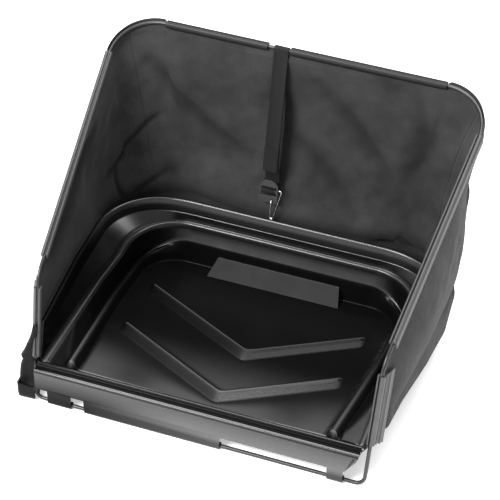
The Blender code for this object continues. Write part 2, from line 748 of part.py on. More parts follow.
def make_hook(look):
    """Wire hook: eye round the buckle's end bar, shank, bend and an arm that rises beside it."""
    _, bar, down, front = strap_places()
    across = np.array([1.0, 0.0, 0.0])
    pin = bar + down * (0.6 * BUCKLE_HEIGHT - END_BAR / 2)
    eye = math.hypot(END_BAR, BUCKLE_THICK) / 2 + CLIP_FIT + HOOK_RADIUS
    path = []
    for k in range(15):
        turn = math.radians(300 * (1 - k / 14))
        path.append(across * HOOK_ACROSS + eye * (front * math.cos(turn) - down * math.sin(turn)))
    plane = across * HOOK_ACROSS + front * eye
    low = HOOK_LENGTH - HOOK_BEND
    path.append(plane + down * 0.6 * low)
    lean = math.atan2(HOOK_SPREAD - HOOK_ACROSS - 2 * HOOK_BEND, HOOK_ARM)
    for k in range(9):
        turn = (math.pi - lean) * k / 8
        step = across * HOOK_BEND * (1 - math.cos(turn)) + down * (low + HOOK_BEND * math.sin(turn))
        path.append(plane + step)
    rise = across * math.sin(lean) - down * math.cos(lean)
    last = path[-1]
    arm = HOOK_ARM / math.cos(lean)
    path += [last + rise * arm * share for share in (0.25, 0.5, 0.75, 1.0)]
    curl = np.cross(np.cross(rise, across), rise)
    curl = unit(curl) if curl @ across < 0 else -unit(curl)
    top = path[-1]
    for k in range(1, 6):
        turn = math.radians(26 * k)
        path.append(top + HOOK_BEND * (rise * math.sin(turn) + curl * (1 - math.cos(turn))))
    hook = tube("hook", path, HOOK_RADIUS, look, around=10)
    hook.location = Vector(pin)
    return hook


def stand_on_ground():
    """Move every piece so that the origin is the middle of the footprint, at its lowest level."""
    bpy.context.view_layer.update()
    graph = bpy.context.evaluated_depsgraph_get()
    low = np.full(3, np.inf)
    high = -low
    for item in bpy.data.objects:
        if item.hide_render:
            continue
        solid = item.evaluated_get(graph)
        mesh = solid.to_mesh()
        flat = np.empty(3 * len(mesh.vertices), np.float32)
        mesh.vertices.foreach_get("co", flat)
        points = flat.reshape(-1, 3).astype(float) + np.array(item.location)
        solid.to_mesh_clear()
        low = np.minimum(low, points.min(axis=0))
        high = np.maximum(high, points.max(axis=0))
    shift = Vector((-(low[0] + high[0]) / 2, -(low[1] + high[1]) / 2, -low[2]))
    for item in bpy.data.objects:
        item.location = item.location + shift
    print("moved by", [round(v, 5) for v in shift])


def build():
    clear_scene()
    plastic = material("moulded_black_plastic", (0.020, 0.020, 0.021), 0.22)
    coated = material("coated_wire", (0.030, 0.030, 0.031), 0.35)
    profile = material("clip_plastic", (0.105, 0.105, 0.108), 0.45)
    woven = material("woven_cloth", (0.045, 0.045, 0.047), 0.85)
    webbing = material("strap_webbing", (0.030, 0.030, 0.031), 0.80)
    acetal = material("buckle_plastic", (0.045, 0.045, 0.046), 0.40)
    bright = material("plated_wire", (0.62, 0.62, 0.62), 0.25, 1.0)
    make_wire(coated)
    make_tray(plastic)
    make_clips(profile)
    make_cloth(woven)
    make_strap(webbing)
    make_buckle(acetal)
    make_hook(bright)
    stand_on_ground()


build()
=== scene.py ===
# %% [markdown]
# # A grass collection bag, dressed for its picture
#
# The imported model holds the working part: a moulded tray, a bent wire frame, six clip profiles,
# three cloth panels, a strap, a buckle and a hook. This notebook gives each of them the surface
# that the real one has.

import math

import bmesh
import bpy
import numpy as np
from mathutils import Matrix, Vector


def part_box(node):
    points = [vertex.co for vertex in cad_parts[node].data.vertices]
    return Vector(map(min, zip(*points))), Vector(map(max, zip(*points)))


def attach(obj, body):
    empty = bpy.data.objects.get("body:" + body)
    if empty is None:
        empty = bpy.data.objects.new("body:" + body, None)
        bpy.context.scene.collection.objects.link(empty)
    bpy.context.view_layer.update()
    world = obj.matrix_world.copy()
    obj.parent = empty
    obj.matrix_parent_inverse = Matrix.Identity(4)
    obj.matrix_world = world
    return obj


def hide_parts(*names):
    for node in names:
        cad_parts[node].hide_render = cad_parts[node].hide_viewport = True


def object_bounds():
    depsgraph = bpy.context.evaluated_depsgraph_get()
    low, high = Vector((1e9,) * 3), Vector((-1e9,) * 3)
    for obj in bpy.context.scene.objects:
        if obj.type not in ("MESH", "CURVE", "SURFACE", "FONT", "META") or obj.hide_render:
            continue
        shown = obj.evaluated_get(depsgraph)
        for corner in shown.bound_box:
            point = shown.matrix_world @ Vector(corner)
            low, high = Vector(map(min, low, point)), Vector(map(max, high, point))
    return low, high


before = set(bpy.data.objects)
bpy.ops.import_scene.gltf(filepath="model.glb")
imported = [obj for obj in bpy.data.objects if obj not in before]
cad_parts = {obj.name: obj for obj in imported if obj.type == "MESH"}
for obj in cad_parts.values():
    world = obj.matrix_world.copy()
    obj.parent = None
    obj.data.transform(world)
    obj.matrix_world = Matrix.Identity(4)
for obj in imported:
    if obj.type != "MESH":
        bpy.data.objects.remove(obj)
cad_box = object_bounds()
print("nodes:", sorted(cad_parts))
print("box of the solids:", [[round(v, 4) for v in corner] for corner in cad_box])

# %% [markdown]
# ## Where things are
#
# All real sizes below are counted from the middle of the foot bar: x to the right, y to the
# back, z up. That is how a maker would measure a wire frame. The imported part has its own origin,
# so one vector, FOOT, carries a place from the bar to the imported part. It is read from the wire's
# own box, whose front and lowest side lie one wire radius from the bar's centre line.

# %% Sizes of the wire frame, in metres
WIRE_RADIUS = 0.0025
FOOT_HALF, KINK_HALF, TOP_HALF = 0.220, 0.225, 0.254
KINK_BACK, KINK_UP = 0.043, 0.168
TOP_BACK, TOP_UP = 0.397, 0.321
wire_low, wire_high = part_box("wire_frame")
FOOT = np.array([(wire_low[0] + wire_high[0]) / 2, wire_low[1] + WIRE_RADIUS, wire_low[2] + WIRE_RADIUS])
print("the foot bar's middle in the packed part:", FOOT.round(5))

# %% [markdown]
# ## The camera
#
# The picture was taken from the right and from above with a long lens, so far lines hardly
# converge. A camera needs a place and three directions. The direction back to the camera comes
# from two angles, and the picture's right and up directions stand square to it.

# %% Camera
TURN, RISE, ROLL = math.radians(20.0), math.radians(41.89), math.radians(0.17)
FOCAL_PIXELS, FRAME_PIXELS = 2203.37, 500
AIM = np.array([0.0, 0.130, 0.150])
AIM_OFFSET = np.array([0.02215, 0.04381, 2.74863])


def camera_axes(turn, rise, roll):
    """Right, up and back directions: back is (sin turn cos rise, -cos turn cos rise, sin rise)."""
    back = np.array([math.sin(turn) * math.cos(rise), -math.cos(turn) * math.cos(rise), math.sin(rise)])
    right = np.array([math.cos(turn), math.sin(turn), 0.0])
    up = np.cross(back, right)
    return math.cos(roll) * right + math.sin(roll) * up, math.cos(roll) * up - math.sin(roll) * right, back


def make_camera():
    """Camera whose centre of picture sees AIM moved by AIM_OFFSET along its own axes."""
    axes = np.array(camera_axes(TURN, RISE, ROLL))
    place = FOOT + AIM + AIM_OFFSET @ axes
    lens = bpy.data.cameras.new("camera")
    lens.sensor_width = 36.0
    lens.lens = lens.sensor_width * FOCAL_PIXELS / FRAME_PIXELS
    lens.clip_end = 20.0
    eye = bpy.data.objects.new("camera", lens)
    bpy.context.scene.collection.objects.link(eye)
    turned = Matrix([list(row) for row in axes.T]).to_4x4()
    eye.matrix_world = Matrix.Translation(Vector(place)) @ turned
    bpy.context.scene.camera = eye
    return eye


eye = make_camera()
print("camera at", [round(v, 3) for v in eye.location], "lens", round(eye.data.lens, 1))

# %% [markdown]
# ## Floor and light
#
# The picture is a cut-out on white. A pale matt floor far larger than the view gives the gloss of
# the tray something bright to mirror, and a pale sky does the same from above. The paper glows a
# little, because the picture shows hardly any shadow on it. Two broad area lights, set at the end
# of this notebook, add the direction.

# %% Floor and sky
FLOOR_SIDE = 40.0


def make_floor():
    """Square sheet at the level of the part's lowest point."""
    half = FLOOR_SIDE / 2
    corners = np.array([(-half, -half, 0.0), (half, -half, 0.0), (half, half, 0.0), (-half, half, 0.0)])
    mesh = bpy.data.meshes.new("studio_floor")
    mesh.from_pydata(corners + (0.0, 0.0, cad_box[0][2] - 0.0002), [], [(0, 1, 2, 3)])
    floor = bpy.data.objects.new("studio_floor", mesh)
    bpy.context.scene.collection.objects.link(floor)
    paint = bpy.data.materials.new("studio_paper")
    paint.use_nodes = True
    shader = paint.node_tree.nodes["Principled BSDF"]
    shader.inputs["Base Color"].default_value = (0.92, 0.92, 0.92, 1.0)
    shader.inputs["Roughness"].default_value = 0.9
    shader.inputs["Emission Color"].default_value = (1.0, 1.0, 1.0, 1.0)
    shader.inputs["Emission Strength"].default_value = 0.45
    mesh.materials.append(paint)
    return floor


def make_sky(strength):
    """White background of one brightness."""
    sky = bpy.data.worlds.new("studio_sky")
    sky.use_nodes = True
    sky.node_tree.nodes["Background"].inputs["Color"].default_value = (1.0, 1.0, 1.0, 1.0)
    sky.node_tree.nodes["Background"].inputs["Strength"].default_value = strength
    bpy.context.scene.world = sky


def make_light(name, place, aim, width, height, power):
    """Area light at a place, turned to face the aim."""
    lamp = bpy.data.lights.new(name, "AREA")
    lamp.shape = "RECTANGLE"
    lamp.size, lamp.size_y, lamp.energy = width, height, power
    light = bpy.data.objects.new(name, lamp)
    bpy.context.scene.collection.objects.link(light)
    light.location = Vector(place)
    light.rotation_euler = (Vector(aim) - Vector(place)).to_track_quat("-Z", "Y").to_euler()
    return light


make_floor()
make_sky(0.6)
bpy.context.scene.view_settings.view_transform = "Standard"
print("floor and sky are set")

# %% [markdown]
# ## Two ways to lay a surface
#
# Nearly every piece here is a grid of points: one direction runs along the piece, the other runs
# round its section. One helper turns such a grid into a mesh, and can close it in either
# direction or at its ends. A second helper carries a flat section along a path, with frames that
# turn as little as they can, so that wires and profiles don't twist.

# %% Grid to mesh
def lay_surface(name, grids, wrap_u=False, wrap_v=False, caps=False, attributes=None, smooth=40.0):
    """One mesh from grids of shape (u, v, 3): quads join neighbours, caps close the first and last row."""
    places, quads, ends, start = [], [], [], 0
    for grid in grids:
        rows, cols = grid.shape[:2]
        index = start + np.arange(rows * cols).reshape(rows, cols)
        ahead = np.roll(index, -1, axis=0) if wrap_u else index[1:]
        here = index if wrap_u else index[:-1]
        beside, here_beside = np.roll(ahead, -1, axis=1), np.roll(here, -1, axis=1)
        keep = cols if wrap_v else cols - 1
        quads.append(np.stack([here, here_beside, beside, ahead], axis=-1)[:, :keep].reshape(-1, 4))
        if caps:
            ends += [index[0].tolist()[::-1], index[-1].tolist()]
        places.append(grid.reshape(-1, 3))
        start += rows * cols
    points = np.concatenate(places) + FOOT
    mesh = bpy.data.meshes.new(name)
    mesh.from_pydata(points.tolist(), [], np.concatenate(quads).tolist() + ends)
    for title, values in (attributes or {}).items():
        values = np.concatenate([np.asarray(v, np.float32).reshape(-1) for v in values])
        mesh.attributes.new(title, "FLOAT", "POINT").data.foreach_set("value", values)
    return finish_mesh(name, mesh, smooth)


def finish_mesh(name, mesh, smooth, merge=1e-6):
    """Merge doubles, turn faces outwards, shade smooth below an angle, and return the object."""
    work = bmesh.new()
    work.from_mesh(mesh)
    bmesh.ops.remove_doubles(work, verts=work.verts, dist=merge)
    bmesh.ops.recalc_face_normals(work, faces=work.faces)
    work.to_mesh(mesh)
    work.free()
    mesh.shade_smooth()
    mesh.set_sharp_from_angle(angle=math.radians(smooth))
    piece = bpy.data.objects.new(name, mesh)
    bpy.context.scene.collection.objects.link(piece)
    return piece


def unit(v):
    v = np.asarray(v, float)
    return v / np.linalg.norm(v, axis=-1, keepdims=True)


def sweep(path, section, first_side, closed=False):
    """Grid of section points carried along a path; each frame is the last one, turned the least."""
    ahead = np.roll(path, -1, axis=0) - path
    behind = path - np.roll(path, 1, axis=0)
    if not closed:
        ahead[-1], behind[0] = behind[-1], ahead[0]
    along = unit(unit(ahead) + unit(behind))
    sides = np.empty_like(along)
    side = np.asarray(first_side, float)
    for k, direction in enumerate(along):
        side = unit(side - direction * (side @ direction))
        sides[k] = side
    if closed:
        drift = side - along[0] * (side @ along[0])
        other = np.cross(along[0], sides[0])
        angle = math.atan2(unit(drift) @ other, unit(drift) @ sides[0])
        share = -angle * np.arange(len(path))[:, None] / len(path)
        sides = np.cos(share) * sides + np.sin(share) * np.cross(along, sides)
    ups = np.cross(along, sides)
    return path[:, None] + section[None, :, :1] * sides[:, None] + section[None, :, 1:] * ups[:, None]


def circle(radius, count=20):
    turn = np.linspace(0, 2 * math.pi, count, endpoint=False)
    return radius * np.stack([np.cos(turn), np.sin(turn)], axis=1)


def round_corners(points, radii, steps, closed=False):
    """Polyline whose corners are arcs: each arc is the blend of its two end radii by sines."""
    points = [np.asarray(p, float) for p in points]
    out = []
    for k, (corner, radius, step) in enumerate(zip(points, radii, steps)):
        if radius <= 0 or (not closed and k in (0, len(points) - 1)):
            out.append(corner[None])
            continue
        before, after = unit(points[k - 1] - corner), unit(points[(k + 1) % len(points)] - corner)
        between = math.acos(float(before @ after))
        centre = corner + unit(before + after) * radius / math.sin(between / 2)
        reach = radius / math.tan(between / 2)
        first, last = corner + before * reach - centre, corner + after * reach - centre
        sweep_angle = math.pi - between
        share = np.linspace(0, 1, step + 1)[:, None]
        mix = np.sin((1 - share) * sweep_angle) * first + np.sin(share * sweep_angle) * last
        out.append(centre + mix / math.sin(sweep_angle))
    return np.concatenate(out)


def fill_in(path, longest, closed=False):
    """Add points so that no step of a path is longer than a length."""
    loop = np.concatenate([path, path[:1]]) if closed else path
    steps = np.linalg.norm(np.diff(loop, axis=0), axis=1)
    counts = np.maximum(1, np.ceil(steps / longest)).astype(int)
    parts = [a + (b - a) * np.linspace(0, 1, n, endpoint=False)[:, None]
             for a, b, n in zip(loop[:-1], loop[1:], counts)]
    return np.concatenate(parts + ([] if closed else [loop[-1:]]))


print("helpers: lay_surface, sweep, round_corners, fill_in")

# %% [markdown]
# ## Finishes
#
# The bag has eight finishes. The tray is glossy black moulded plastic: its colour is nearly
# nothing, and most of what one sees is what it mirrors, broken up by a faint unevenness of the
# moulding. Four values on its points say where it is grained, where it is matt, where painted
# light and highlights make its colour paler, and where painted shade weakens its mirror image.
# The wire has a satin powder coat. The clip profiles are extruded in a dull dark grey with fine
# draw lines along them, and the two on the top bar are painted darker as shade. The cloth is a
# coarse polyester weave with painted shade in its folds and creases, and the strap is webbing
# with a slanting rib. The buckle is satin moulded plastic, and the hook is bright plated wire.

# %% A small kit for node materials
def start_material(name, colour, roughness, metallic=0.0):
    made = bpy.data.materials.new(name)
    made.use_nodes = True
    shader = made.node_tree.nodes["Principled BSDF"]
    shader.inputs["Base Color"].default_value = (*colour, 1.0)
    shader.inputs["Roughness"].default_value = roughness
    shader.inputs["Metallic"].default_value = metallic
    return made, shader


def add_node(tree, kind, settings=None, links=None, **values):
    """One node: settings are its properties, values its sockets, links name what feeds a socket."""
    node = tree.nodes.new(kind)
    for key, value in (settings or {}).items():
        setattr(node, key, value)
    for key, value in values.items():
        node.inputs[key.replace("_", " ")].default_value = value
    for key, source in (links or {}).items():
        tree.links.new(source, node.inputs[key])
    return node


def object_place(tree, scale=(1.0, 1.0, 1.0), turn=(0.0, 0.0, 0.0)):
    coords = add_node(tree, "ShaderNodeTexCoord")
    mapping = add_node(tree, "ShaderNodeMapping", links={"Vector": coords.outputs["Object"]})
    mapping.inputs["Scale"].default_value = scale
    mapping.inputs["Rotation"].default_value = turn
    return mapping.outputs["Vector"]


def sheet_place(tree, scale=(1.0, 1.0, 1.0)):
    """The piece's own UV map, which holds metres along and across the cloth."""
    coords = add_node(tree, "ShaderNodeUVMap", {"uv_map": "metres"})
    mapping = add_node(tree, "ShaderNodeMapping", links={"Vector": coords.outputs["UV"]})
    mapping.inputs["Scale"].default_value = scale
    return mapping.outputs["Vector"]


def spread(tree, source, low, high):
    """Value from 0 to 1 carried to a range."""
    ramp = add_node(tree, "ShaderNodeMapRange", links={"Value": source})
    ramp.inputs["To Min"].default_value = low
    ramp.inputs["To Max"].default_value = high
    return ramp.outputs["Result"]


MIX_SHARE, MIX_FROM, MIX_TO, MIX_RESULT = 0, 6, 7, 2  # a Mix node's sockets when it mixes colours


def grey_between(tree, source, low, high):
    """Colour that goes from one grey to another."""
    mix = add_node(tree, "ShaderNodeMix", {"data_type": "RGBA"}, {MIX_SHARE: source})
    mix.inputs[MIX_FROM].default_value = (*low, 1.0)
    mix.inputs[MIX_TO].default_value = (*high, 1.0)
    return mix.outputs[MIX_RESULT]


def raise_bumps(tree, shader, heights):
    """Chain of bumps: each is (height socket, distance in metres, strength)."""
    normal = None
    for height, distance, strength in heights:
        bump = add_node(tree, "ShaderNodeBump", links={"Height": height})
        bump.inputs["Distance"].default_value = distance
        bump.inputs["Strength"].default_value = strength
        if normal is not None:
            tree.links.new(normal, bump.inputs["Normal"])
        normal = bump.outputs["Normal"]
    tree.links.new(normal, shader.inputs["Normal"])
    return normal


def glossy_moulding():
    """Black moulding: a slow swell bends the mirror image, a fine grain sits where it was left matt."""
    made, shader = start_material("glossy_black_moulding", (0.0024, 0.0024, 0.0025), 0.12)
    tree = made.node_tree
    place = object_place(tree)
    wear = add_node(tree, "ShaderNodeTexNoise", links={"Vector": place}, Scale=38.0, Detail=4.0)
    swell = add_node(tree, "ShaderNodeTexNoise", links={"Vector": place}, Scale=22.0, Detail=1.0)
    skin = add_node(tree, "ShaderNodeTexNoise", links={"Vector": place}, Scale=900.0, Detail=2.0)
    grain = add_node(tree, "ShaderNodeAttribute", {"attribute_name": "grain"})
    coarse = add_node(tree, "ShaderNodeTexVoronoi", {"feature": "F1"}, links={"Vector": place}, Scale=1000.0)
    raised = add_node(tree, "ShaderNodeMath", {"operation": "MULTIPLY"})
    tree.links.new(coarse.outputs["Distance"], raised.inputs[0])
    tree.links.new(grain.outputs["Fac"], raised.inputs[1])
    dull = add_node(tree, "ShaderNodeMath", {"operation": "MULTIPLY_ADD"})
    tree.links.new(grain.outputs["Fac"], dull.inputs[0])
    dull.inputs[1].default_value = 0.10
    matt = add_node(tree, "ShaderNodeAttribute", {"attribute_name": "matt"})
    floor_dull = add_node(tree, "ShaderNodeMath", {"operation": "MULTIPLY_ADD"})
    tree.links.new(matt.outputs["Fac"], floor_dull.inputs[0])
    floor_dull.inputs[1].default_value = 0.06
    tree.links.new(spread(tree, wear.outputs["Fac"], 0.20, 0.31), floor_dull.inputs[2])
    tree.links.new(floor_dull.outputs["Value"], dull.inputs[2])
    tree.links.new(dull.outputs["Value"], shader.inputs["Roughness"])
    # Painted light and shade: the pale value makes the base colour paler where light and highlights are painted, the
    # second value weakens the mirror image where shade is painted.
    pale = add_node(tree, "ShaderNodeAttribute", {"attribute_name": "pale"})
    painted_shade = add_node(tree, "ShaderNodeAttribute", {"attribute_name": "painted_shade"})
    tree.links.new(spread(tree, painted_shade.outputs["Fac"], 0.50, 0.06), shader.inputs["Specular IOR Level"])
    dust_and_painted_light = grey_between(tree, pale.outputs["Fac"], (0.0020, 0.0020, 0.0021), (0.060, 0.060, 0.061))
    tree.links.new(dust_and_painted_light, shader.inputs["Base Color"])
    raise_bumps(tree, shader, ((swell.outputs["Fac"], 0.0006, 0.12), (skin.outputs["Fac"], 0.00003, 0.15),
                               (raised.outputs["Value"], 0.0007, 0.8)))
    return made


def powder_coat():
    made, shader = start_material("powder_coated_wire", (0.012, 0.012, 0.0125), 0.34)
    tree = made.node_tree
    place = object_place(tree)
    peel = add_node(tree, "ShaderNodeTexNoise", links={"Vector": place}, Scale=650.0, Detail=2.0)
    tree.links.new(spread(tree, peel.outputs["Fac"], 0.26, 0.42), shader.inputs["Roughness"])
    raise_bumps(tree, shader, ((peel.outputs["Fac"], 0.00012, 0.35),))
    return made


def drawn_profile(name, low, high, mirror):
    """Dull extrusion: draw lines run along it, because the second UV direction goes round it."""
    made, shader = start_material(name, (high, high, high), 0.46)
    shader.inputs["Specular IOR Level"].default_value = mirror
    tree = made.node_tree
    lines = add_node(tree, "ShaderNodeTexNoise", links={"Vector": sheet_place(tree, (3.0, 900.0, 1.0))},
                     Scale=1.0, Detail=2.0)
    dust = add_node(tree, "ShaderNodeTexNoise", links={"Vector": object_place(tree)}, Scale=90.0, Detail=3.0)
    dust_and_painted_light = grey_between(tree, dust.outputs["Fac"], (low, low, low), (high, high, high))
    tree.links.new(dust_and_painted_light, shader.inputs["Base Color"])
    tree.links.new(spread(tree, lines.outputs["Fac"], 0.36, 0.56), shader.inputs["Roughness"])
    raise_bumps(tree, shader, ((lines.outputs["Fac"], 0.00010, 0.35),))
    return made


def woven_polyester(name, dark, pale):
    """Plain weave: two bands of waves at right angles, one for each set of threads."""
    made, shader = start_material(name, dark, 0.82)
    shader.inputs["Sheen Weight"].default_value = 0.06
    shader.inputs["Specular IOR Level"].default_value = 0.25
    tree = made.node_tree
    along, across = [add_node(tree, "ShaderNodeTexWave", {"bands_direction": way}, links={"Vector": sheet_place(tree)},
                              Scale=210.0, Distortion=0.6, Detail=1.0) for way in "XY"]
    weave = add_node(tree, "ShaderNodeMath", {"operation": "MAXIMUM"})
    tree.links.new(along.outputs["Fac"], weave.inputs[0])
    tree.links.new(across.outputs["Fac"], weave.inputs[1])
    cloud = add_node(tree, "ShaderNodeTexNoise", links={"Vector": object_place(tree)},
                     Scale=17.0, Detail=5.0, Roughness=0.62)
    fibre = add_node(tree, "ShaderNodeTexNoise", links={"Vector": sheet_place(tree)}, Scale=420.0, Detail=2.0)
    both = add_node(tree, "ShaderNodeMath", {"operation": "MULTIPLY_ADD"})
    tree.links.new(fibre.outputs["Fac"], both.inputs[0])
    both.inputs[1].default_value = 0.45
    tree.links.new(spread(tree, cloud.outputs["Fac"], -0.75, 1.25), both.inputs[2])
    # Painted shade: this value mixes the weave towards near black where shade is painted, in folds, creases and other
    # shaded places.
    cloth_painted_shade = add_node(tree, "ShaderNodeAttribute", {"attribute_name": "cloth_painted_shade"})
    mixed = add_node(tree, "ShaderNodeMix", {"data_type": "RGBA"}, {MIX_SHARE: cloth_painted_shade.outputs["Fac"]})
    tree.links.new(grey_between(tree, both.outputs["Value"], dark, pale), mixed.inputs[MIX_FROM])
    mixed.inputs[MIX_TO].default_value = (0.0015, 0.0015, 0.0016, 1.0)
    tree.links.new(mixed.outputs[MIX_RESULT], shader.inputs["Base Color"])
    rumple = add_node(tree, "ShaderNodeTexNoise", links={"Vector": object_place(tree)},
                      Scale=34.0, Detail=3.0, Roughness=0.55)
    raise_bumps(tree, shader, ((rumple.outputs["Fac"], 0.004, 0.45), (fibre.outputs["Fac"], 0.0008, 0.35),
                               (weave.outputs["Value"], 0.00035, 0.55)))
    return made


def webbing():
    """Webbing with a slanting rib: one band of waves across the strap, and a fibre noise on it."""
    made, shader = start_material("strap_webbing", (0.030, 0.030, 0.031), 0.72)
    shader.inputs["Sheen Weight"].default_value = 0.02
    shader.inputs["Specular IOR Level"].default_value = 0.25
    tree = made.node_tree
    ribs = add_node(tree, "ShaderNodeTexWave", {"bands_direction": "DIAGONAL"}, links={"Vector": sheet_place(tree)},
                    Scale=260.0, Distortion=0.3)
    fibre = add_node(tree, "ShaderNodeTexNoise", links={"Vector": sheet_place(tree)}, Scale=500.0, Detail=2.0)
    threads = grey_between(tree, fibre.outputs["Fac"], (0.003, 0.003, 0.0031), (0.009, 0.009, 0.0093))
    tree.links.new(threads, shader.inputs["Base Color"])
    raise_bumps(tree, shader, ((ribs.outputs["Fac"], 0.00045, 0.7), (fibre.outputs["Fac"], 0.0003, 0.4)))
    return made


def satin_moulding():
    made, shader = start_material("satin_buckle_moulding", (0.024, 0.024, 0.025), 0.38)
    tree = made.node_tree
    skin = add_node(tree, "ShaderNodeTexNoise", links={"Vector": object_place(tree)}, Scale=800.0, Detail=2.0)
    tree.links.new(spread(tree, skin.outputs["Fac"], 0.30, 0.46), shader.inputs["Roughness"])
    raise_bumps(tree, shader, ((skin.outputs["Fac"], 0.00008, 0.4),))
    return made


def plated_wire():
    made, shader = start_material("plated_wire", (0.72, 0.72, 0.72), 0.2, 1.0)
    tree = made.node_tree
    smear = add_node(tree, "ShaderNodeTexNoise", links={"Vector": object_place(tree)}, Scale=300.0, Detail=3.0)
    tree.links.new(spread(tree, smear.outputs["Fac"], 0.12, 0.34), shader.inputs["Roughness"])
    plating = grey_between(tree, smear.outputs["Fac"], (0.55, 0.55, 0.55), (0.85, 0.85, 0.85))
    tree.links.new(plating, shader.inputs["Base Color"])
    return made


MOULDING, COAT = glossy_moulding(), powder_coat()
PROFILE = drawn_profile("drawn_clip_profile", 0.036, 0.056, 0.5)
# The top bar's profiles get a darker copy of the same extrusion with a weaker mirror image: painted shade.
TOP_PROFILE_PAINTED_SHADE = drawn_profile("drawn_top_profile_painted_shade", 0.008, 0.014, 0.22)
CLOTH = woven_polyester("woven_polyester", (0.011, 0.011, 0.0114), (0.036, 0.036, 0.037))
WEBBING, BUCKLE, PLATED = webbing(), satin_moulding(), plated_wire()
print("finishes:", [m.name for m in (MOULDING, COAT, PROFILE, TOP_PROFILE_PAINTED_SHADE, CLOTH, WEBBING, BUCKLE, PLATED)])


def dress(piece, look, slot, body, *nodes):
    """Give a piece its finish, let it ride on its body and stand for its solids."""
    piece.data.materials.clear()
    piece.data.materials.append(look)
    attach(piece, body)
    if nodes:
        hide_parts(*nodes)
    return piece


def lengths_along(grid, axis):
    """How far each point lies from the start of its row (axis 1) or column (axis 0), in metres."""
    gone = np.cumsum(np.linalg.norm(np.diff(grid, axis=axis), axis=2), axis=axis)
    start = np.zeros((grid.shape[0], 1) if axis else (1, grid.shape[1]))
    return np.concatenate([start, gone], axis=axis)


def place_codes(points):
    """One whole number for each place, counted in hundredths of a millimetre: (x B + y) B + z."""
    x, y, z = np.round(points.astype(float) * 1e5).astype(np.int64).T
    base = 1_000_003
    return (x * base + y) * base + z


def lay_metres(piece, grids):
    """UV map in metres: how far each point is along its row and along its column."""
    flat = np.concatenate([np.stack([lengths_along(g, 0), lengths_along(g, 1)], axis=-1).reshape(-1, 2) for g in grids])
    codes = place_codes(np.concatenate([g.reshape(-1, 3) for g in grids]) + FOOT)
    mesh = piece.data
    corner = np.empty(len(mesh.loops), int)
    mesh.loops.foreach_get("vertex_index", corner)
    places = np.empty(3 * len(mesh.vertices), np.float32)
    mesh.vertices.foreach_get("co", places)
    wanted = place_codes(places.reshape(-1, 3))
    order = np.argsort(codes, kind="stable")
    found = order[np.maximum(np.searchsorted(codes[order], wanted, side="right") - 1, 0)]
    match = np.where(codes[found] == wanted, found, 0)
    mesh.uv_layers.new(name="metres").data.foreach_set("uv", flat[match][corner].astype(np.float32).ravel())


# %% [markdown]
# ## The tray's floor
#
# The floor slopes down to the back and carries two raised V ribs, which point at the mouth. They
# could be cut from blocks and joined, but then the rib's soft front would meet the floor in a
# hard line. Instead the rows of the floor grid follow the V themselves: away from the front edge
# they bend until they lie along the ribs, and behind them they straighten again to meet the rear
# wall. Then a rib is only a height that depends on the row.

# %% Rows and columns of the floor
APEX_X, ARM_HALF, ARM_DEPTH, APEX_SOFT = 0.0166, 0.152, 0.094, 0.004
FLOOR_START, FLOOR_END, REAR_ARC = 0.0125, 0.300, 0.045
RIB_STARTS = (0.0224, 0.1184)
RIB_RUN = np.array([0, .8, 1.8, 3, 6, 10, 14, 16.5, 17.9, 18.6, 19.1, 19.6, 20.2, 21, 22, 23, 23.9, 24.8, 26]) / 1000
RIB_RISE = np.array([0, .05, .3, .75, 1.95, 3.5, 5, 5.85, 6.2, 6.28, 6.2, 5.9, 5.3, 4.2, 2.6, 1.15, .35, .08, 0]) / 1000


def floor_height(y):
    return 0.0543 - 0.17 * y


def floor_half(y):
    """Half the floor's width: it widens by 6 percent of the depth until it runs straight."""
    return np.minimum(0.1735, 0.1635 + 0.0606 * (y - 0.016))


def ease(t):
    """Soft step: 3 t squared minus 2 t cubed, held between 0 and 1."""
    t = np.clip(t, 0.0, 1.0)
    return t * t * (3 - 2 * t)


def soft_distance(d):
    """Distance from the point of the V, rounded at the point: root of d squared plus r squared, less r."""
    return np.sqrt(d ** 2 + APEX_SOFT ** 2) - APEX_SOFT


def floor_rows():
    """Middle depth of each row, how far along its zone it is, and the height of the rib on it."""
    first, second = RIB_STARTS
    front = FLOOR_START + (first - FLOOR_START) * np.linspace(0, 1, 24, endpoint=False)
    between = np.linspace(first + RIB_RUN[-1], second, 20, endpoint=False)[1:]
    rear = np.linspace(second + RIB_RUN[-1], FLOOR_END, 27)[1:]
    middle = np.concatenate([front, first + RIB_RUN, between, second + RIB_RUN, rear])
    height = np.concatenate([front * 0, RIB_RISE, between * 0, RIB_RISE, rear * 0])
    bend = np.clip((middle - FLOOR_START) / (first - FLOOR_START), 0, 1)
    return middle, height, bend, len(rear)


def side_line(sign):
    """Where each row meets the side: place, outward direction, and blend from side to rear."""
    middle, _, bend, rear_count = floor_rows()
    slope = ARM_DEPTH / (ARM_HALF - sign * APEX_X)
    y = middle.copy()
    for _ in range(6):
        y = middle + bend * slope * soft_distance(floor_half(y) - sign * APEX_X)
    straight = slice(0, len(middle) - rear_count)
    start = y[straight][-1]
    corner_y, corner_x = FLOOR_END - REAR_ARC, floor_half(FLOOR_END) - REAR_ARC
    length = (corner_y - start) + REAR_ARC * math.pi / 2
    gone = length * np.linspace(0, 1, rear_count + 1)[1:]
    turn = np.clip((gone - (corner_y - start)) / REAR_ARC, 0, math.pi / 2)
    y = np.concatenate([y[straight], np.where(turn > 0, corner_y + REAR_ARC * np.sin(turn), start + gone)])
    turn = np.concatenate([np.zeros(len(middle) - rear_count), turn])
    x = np.where(turn > 0, corner_x + REAR_ARC * np.cos(turn), floor_half(y))
    place = np.stack([sign * x, y], axis=1)
    outward = np.stack([sign * np.cos(turn), np.sin(turn)], axis=1)
    return place, outward, turn / (math.pi / 2)


